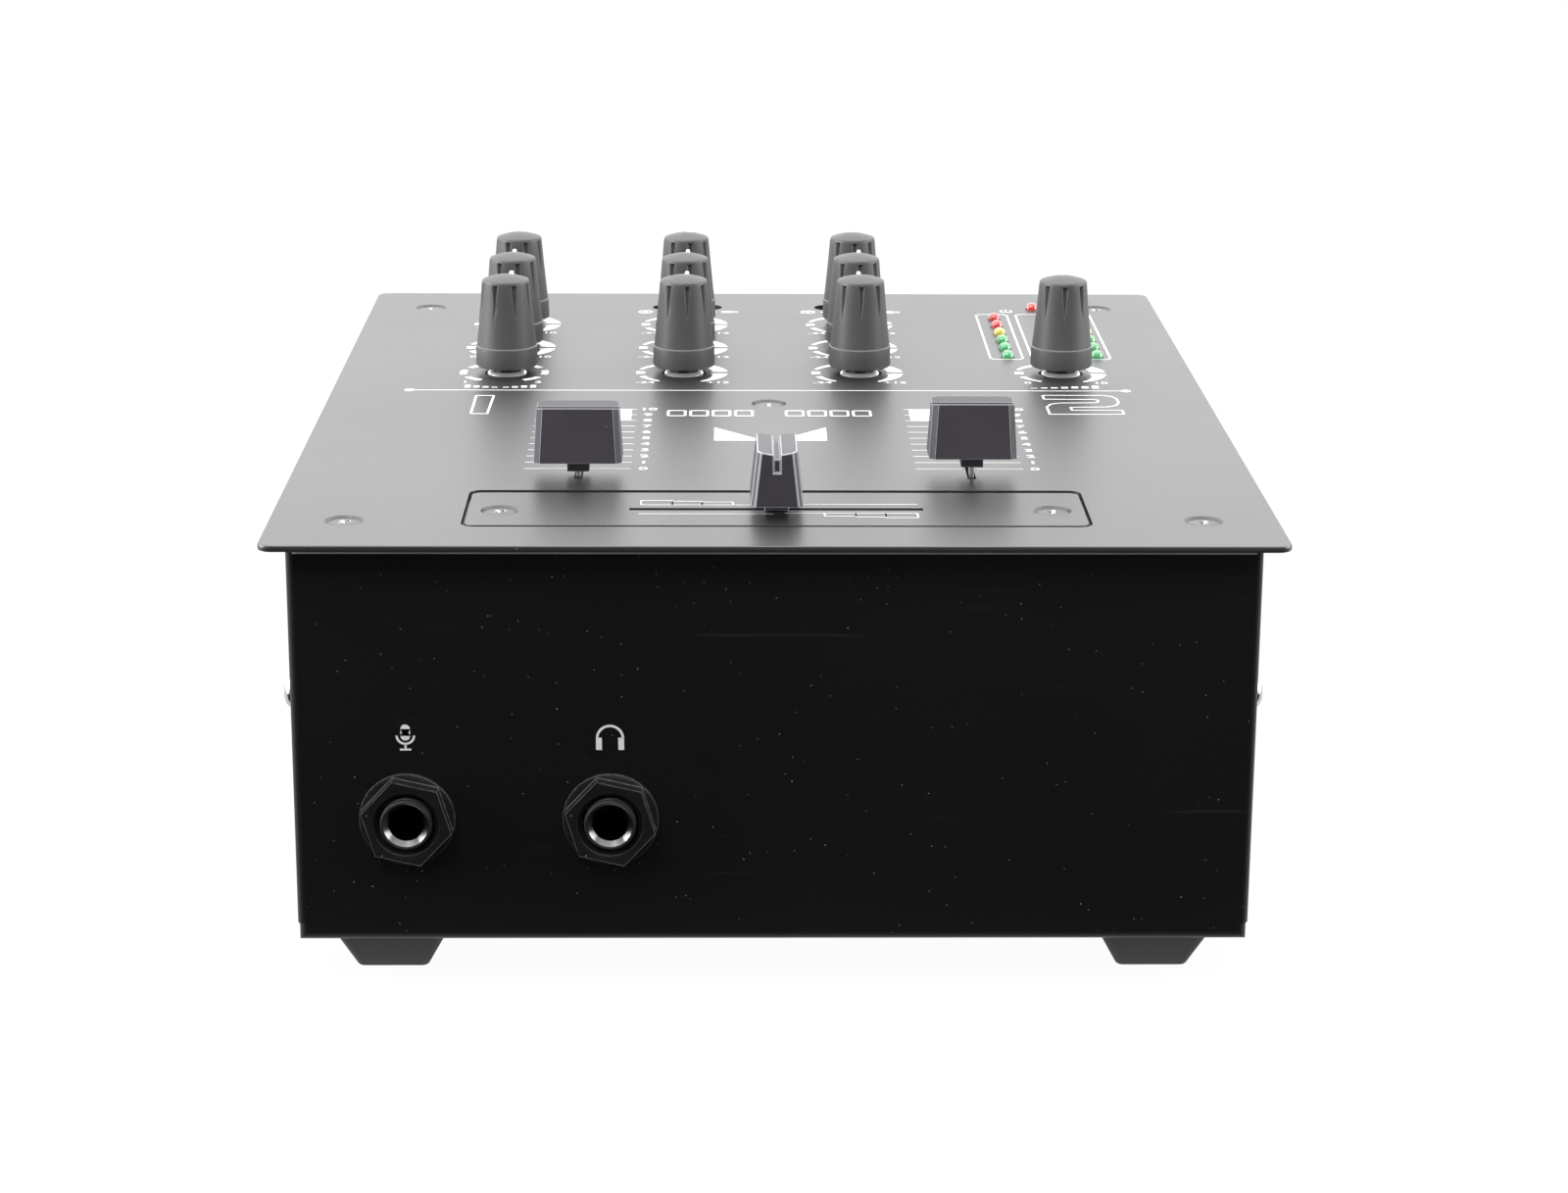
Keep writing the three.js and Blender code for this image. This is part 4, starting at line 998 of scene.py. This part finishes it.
def rear_board():
    bottom, top = low("rear_board"), high("rear_board")
    wall = TRAY_REAR
    build = Build()
    build.add(*brick(-76, 76, bottom.y, bottom.y + 1.6, 16, 62, 0.15, 1), GREEN_BOARD)
    columns, rows = (-35, -21, -7, 7, 21, 35), (29, 45)
    for x in columns:
        build.add(*brick(x - 5.5, x + 5.5, bottom.y + 1.6, wall - 1.05, 22, 52, 0.4), BLACK_PLASTIC)
        for z, insert in zip(rows, (RED_PLASTIC, WHITE_PLASTIC)):
            phono_socket(build, x, z, top.y - wall, insert)
    build.add(*brick(-70, -58, bottom.y + 1.6, wall - 1.05, 30.5, 43.5, 0.4), BLACK_PLASTIC)
    inlet = [(3, -8), (5, -8), (5, 0.1), (5.4, 0.12), (5.4, 0.6), (5.1, 0.8), (3.3, 0.8), (3, 0.5)]
    build.add(*moved(turned(inlet, 48, closed=True), x=-64, y=wall, z=37, turn=TO_REAR), BLACK_PLASTIC)
    pin = [(0.95, -9), (0.95, -0.7), (0.7, -0.5), (0.2, -0.45)]
    build.add(*moved(turned(pin, 24), x=-64, y=wall, z=37, turn=TO_REAR), NICKEL)
    case = brick(55.5, 74.5, bottom.y + 1.6, wall + 1.2, 30.5, 43.5, 0.5)
    well = brick(57, 73, wall - 4.8, wall + 3, 31.7, 42.3, 0)
    build.add(*carve(case, well), BLACK_PLASTIC)
    build.piece("rear_board_finished", "chassis", stands_for=("rear_board",), slot="circuit_board",
                smooth=30)


def ground_terminal():
    x, _, z = middle("ground_terminal")
    end = high("ground_terminal").y - TRAY_REAR
    build = Build()
    stud = [(1.8, -6.9), (1.95, -6.7)]
    stud += [point for k in range(13) for point in ((1.75, -6.4 + k * 0.5), (1.98, -6.15 + k * 0.5))]
    stud += [(1.9, 0.2), (1.9, end - 0.3), (1.6, end - 0.02), (0.3, end)]
    build.add(*moved(turned(stud, 32), turn=TO_REAR), NICKEL)
    knurl = lambda angle: 4.38 - 0.28 * abs(math.sin(angle * 12))
    nut = [(2.0, 0.1), (3.1, 0.1), (4.1, 1.0), (4.38, 1.2), (4.38, 5.6), (4.1, 6.0), (2.5, 6.05), (2.0, 5.8)]
    build.add(*moved(turned(nut, 96, closed=True, squash=knurl), turn=TO_REAR), NICKEL)
    build.piece("ground_terminal_finished", "ground_terminal", (x, TRAY_REAR, z), None,
                ("ground_terminal",), "nickel_plate", 30)


control_board()
rear_board()
ground_terminal()


def print_rear_signs(art):
    """Numbers for the inputs, an arrow for the output. Here x grows to the right as seen from behind."""
    for x in (28, 0, -28):
        art.path([(x - 11, 52.4), (x - 11, 53.2), (x + 11, 53.2), (x + 11, 52.4)], THIN)
    art.number("2", 28, 56, 2.6)
    art.number("1", 0, 56, 2.6)
    art.bar(-30, -27.6, 55.7, 56.3)
    art.polygon([(-27.6, 54.8), (-25.6, 56), (-27.6, 57.2)])
    print_power_sign(art, -65, 47.5)
    x, z = -49, 44.8  # earth sign over the ground terminal
    art.bar(x - 0.2, x + 0.2, z, z + 1.4)
    for width, drop in ((1.7, 0), (1.1, 0.7), (0.5, 1.4)):
        art.bar(x - width, x + width, z - drop - 0.2, z - drop + 0.2)
    x, z = 64, 46.8  # direct current sign over the inlet
    art.bar(x - 2, x + 2, z + 0.4, z + 0.8)
    for left in (-2, -0.5, 1):
        art.bar(x + left, x + left + 1, z - 0.6, z - 0.2)


rear_art = Print()
print_rear_signs(rear_art)
rear_art.piece("rear_printing", on_rear, INK)

# ---------------------------------------------------------------- studio and camera


def floor():
    """Pale where seen from above and clear from below. Reflections of it are dark in front of the case."""
    data = bpy.data.meshes.new("floor")
    corners = ((-1, -1), (1, -1), (1, 1), (-1, 1))
    data.from_pydata([(FLOOR_HALF * x, FLOOR_HALF * y, 0) for x, y in corners], [], [(0, 1, 2, 3)])
    look = Shader("pale_floor", (0.85, 0.85, 0.85), 0.8).vary(3, 0.02).grain(200, 0.00002)
    look.done()
    glow = look.node("ShaderNodeEmission", {"Color": (1, 1, 1, 1), "Strength": 1.0})
    y = look.node("ShaderNodeSeparateXYZ", {0: look.where}).outputs["Y"]
    front = PANEL_FRONT * MM
    share = look.remap(y, front - 0.012, front + 0.004, FLOOR_DARK, FLOOR_BRIGHT)
    cast = look.node("ShaderNodeEmission", {"Color": (1, 1, 1, 1), "Strength": share})
    seen = look.node("ShaderNodeLightPath").outputs["Is Camera Ray"]
    pale = look.node("ShaderNodeMixShader", {0: 0.96, 1: look.surface.outputs[0], 2: glow.outputs[0]})
    under = look.node("ShaderNodeNewGeometry").outputs["Backfacing"]
    clear = look.node("ShaderNodeBsdfTransparent")
    shown = look.node("ShaderNodeMixShader", {0: under, 1: pale.outputs[0], 2: clear.outputs[0]})
    mixed = look.node("ShaderNodeMixShader", {0: seen, 1: cast.outputs[0], 2: shown.outputs[0]})
    look.tree.links.new(mixed.outputs[0], look.tree.nodes["Material Output"].inputs[0])
    data.materials.append(look.material)
    obj = bpy.data.objects.new("floor", data)
    bpy.context.scene.collection.objects.link(obj)


def studio():
    """A white room that lights as if its front were dark, so that faces turned to the viewer stay black."""
    world = bpy.data.worlds.new("studio")
    bpy.context.scene.world = world
    world.use_nodes = True
    tree = world.node_tree
    new = lambda kind, **settings: _set(tree.nodes.new(kind), settings)
    link = tree.links.new
    direction = new("ShaderNodeSeparateXYZ")
    link(new("ShaderNodeTexCoord").outputs["Generated"], direction.inputs[0])
    backward = new("ShaderNodeMapRange", interpolation_type="SMOOTHSTEP")
    link(direction.outputs["Y"], backward.inputs[0])
    for index, number in enumerate((-0.95, 0.6, DARK_FRONT, BRIGHT_BACK), start=1):
        backward.inputs[index].default_value = number
    upward = new("ShaderNodeMapRange", interpolation_type="SMOOTHSTEP")
    link(direction.outputs["Z"], upward.inputs[0])
    for index, number in enumerate((0.45, 0.85, 0.0, OVERHEAD), start=1):
        upward.inputs[index].default_value = number
    total = new("ShaderNodeMath", operation="ADD")
    link(backward.outputs[0], total.inputs[0])
    link(upward.outputs[0], total.inputs[1])
    lit, seen = tree.nodes["Background"], new("ShaderNodeBackground")
    link(total.outputs[0], lit.inputs["Strength"])
    lit.inputs["Color"].default_value = seen.inputs["Color"].default_value = (1, 1, 1, 1)
    seen.inputs["Strength"].default_value = 1.0
    choose = new("ShaderNodeMixShader")
    link(new("ShaderNodeLightPath").outputs["Is Camera Ray"], choose.inputs[0])
    link(lit.outputs[0], choose.inputs[1])
    link(seen.outputs[0], choose.inputs[2])
    link(choose.outputs[0], tree.nodes["World Output"].inputs[0])


def _set(node, settings):
    for key, value in settings.items():
        setattr(node, key, value)
    return node


def soft_light(name, at, size, power):
    light = bpy.data.lights.new(name, "AREA")
    light.shape, light.size, light.energy = "DISK", size, power
    obj = bpy.data.objects.new(name, light)
    bpy.context.scene.collection.objects.link(obj)
    obj.location = at
    obj.rotation_euler = (Vector((0, 0, 0.06)) - Vector(at)).to_track_quat("-Z", "Y").to_euler()


FRAME_WIDTH, FOCAL_PIXELS = 1600, 3575.4


def camera():
    """Standing back from the front edge, a little left of centre and looking down on the panel."""
    view = bpy.data.cameras.new("camera")
    view.sensor_width = 36
    view.lens = view.sensor_width * FOCAL_PIXELS / FRAME_WIDTH
    obj = bpy.data.objects.new("camera", view)
    bpy.context.scene.collection.objects.link(obj)
    obj.location = Vector((-8.6, PANEL_FRONT - 585.5, PANEL_TOP + 160.1)) * MM
    down, right, roll = (math.radians(v) for v in (16.11, 0.98, 0.31))
    facing = Matrix.Rotation(-right, 3, "Z") @ Matrix.Rotation(math.pi / 2 - down, 3, "X")
    obj.rotation_euler = (facing @ Matrix.Rotation(roll, 3, "Z")).to_euler()
    bpy.context.scene.camera = obj


DARK_FRONT, BRIGHT_BACK, OVERHEAD = 0.05, 2.25, 0.9
FLOOR_HALF, FLOOR_DARK, FLOOR_BRIGHT = 6.0, 0.03, 0.8
floor()
studio()
soft_light("key_softbox", (-0.5, -0.9, 1.3), 0.7, 11)
soft_light("front_softbox", (0.3, -1.5, 0.3), 1.0, 2)
soft_light("left_softbox", (-1.0, -0.1, 0.35), 0.6, 12)
soft_light("right_softbox", (1.0, -0.1, 0.35), 0.6, 7)
camera()
bpy.context.scene.view_settings.view_transform = "Standard"
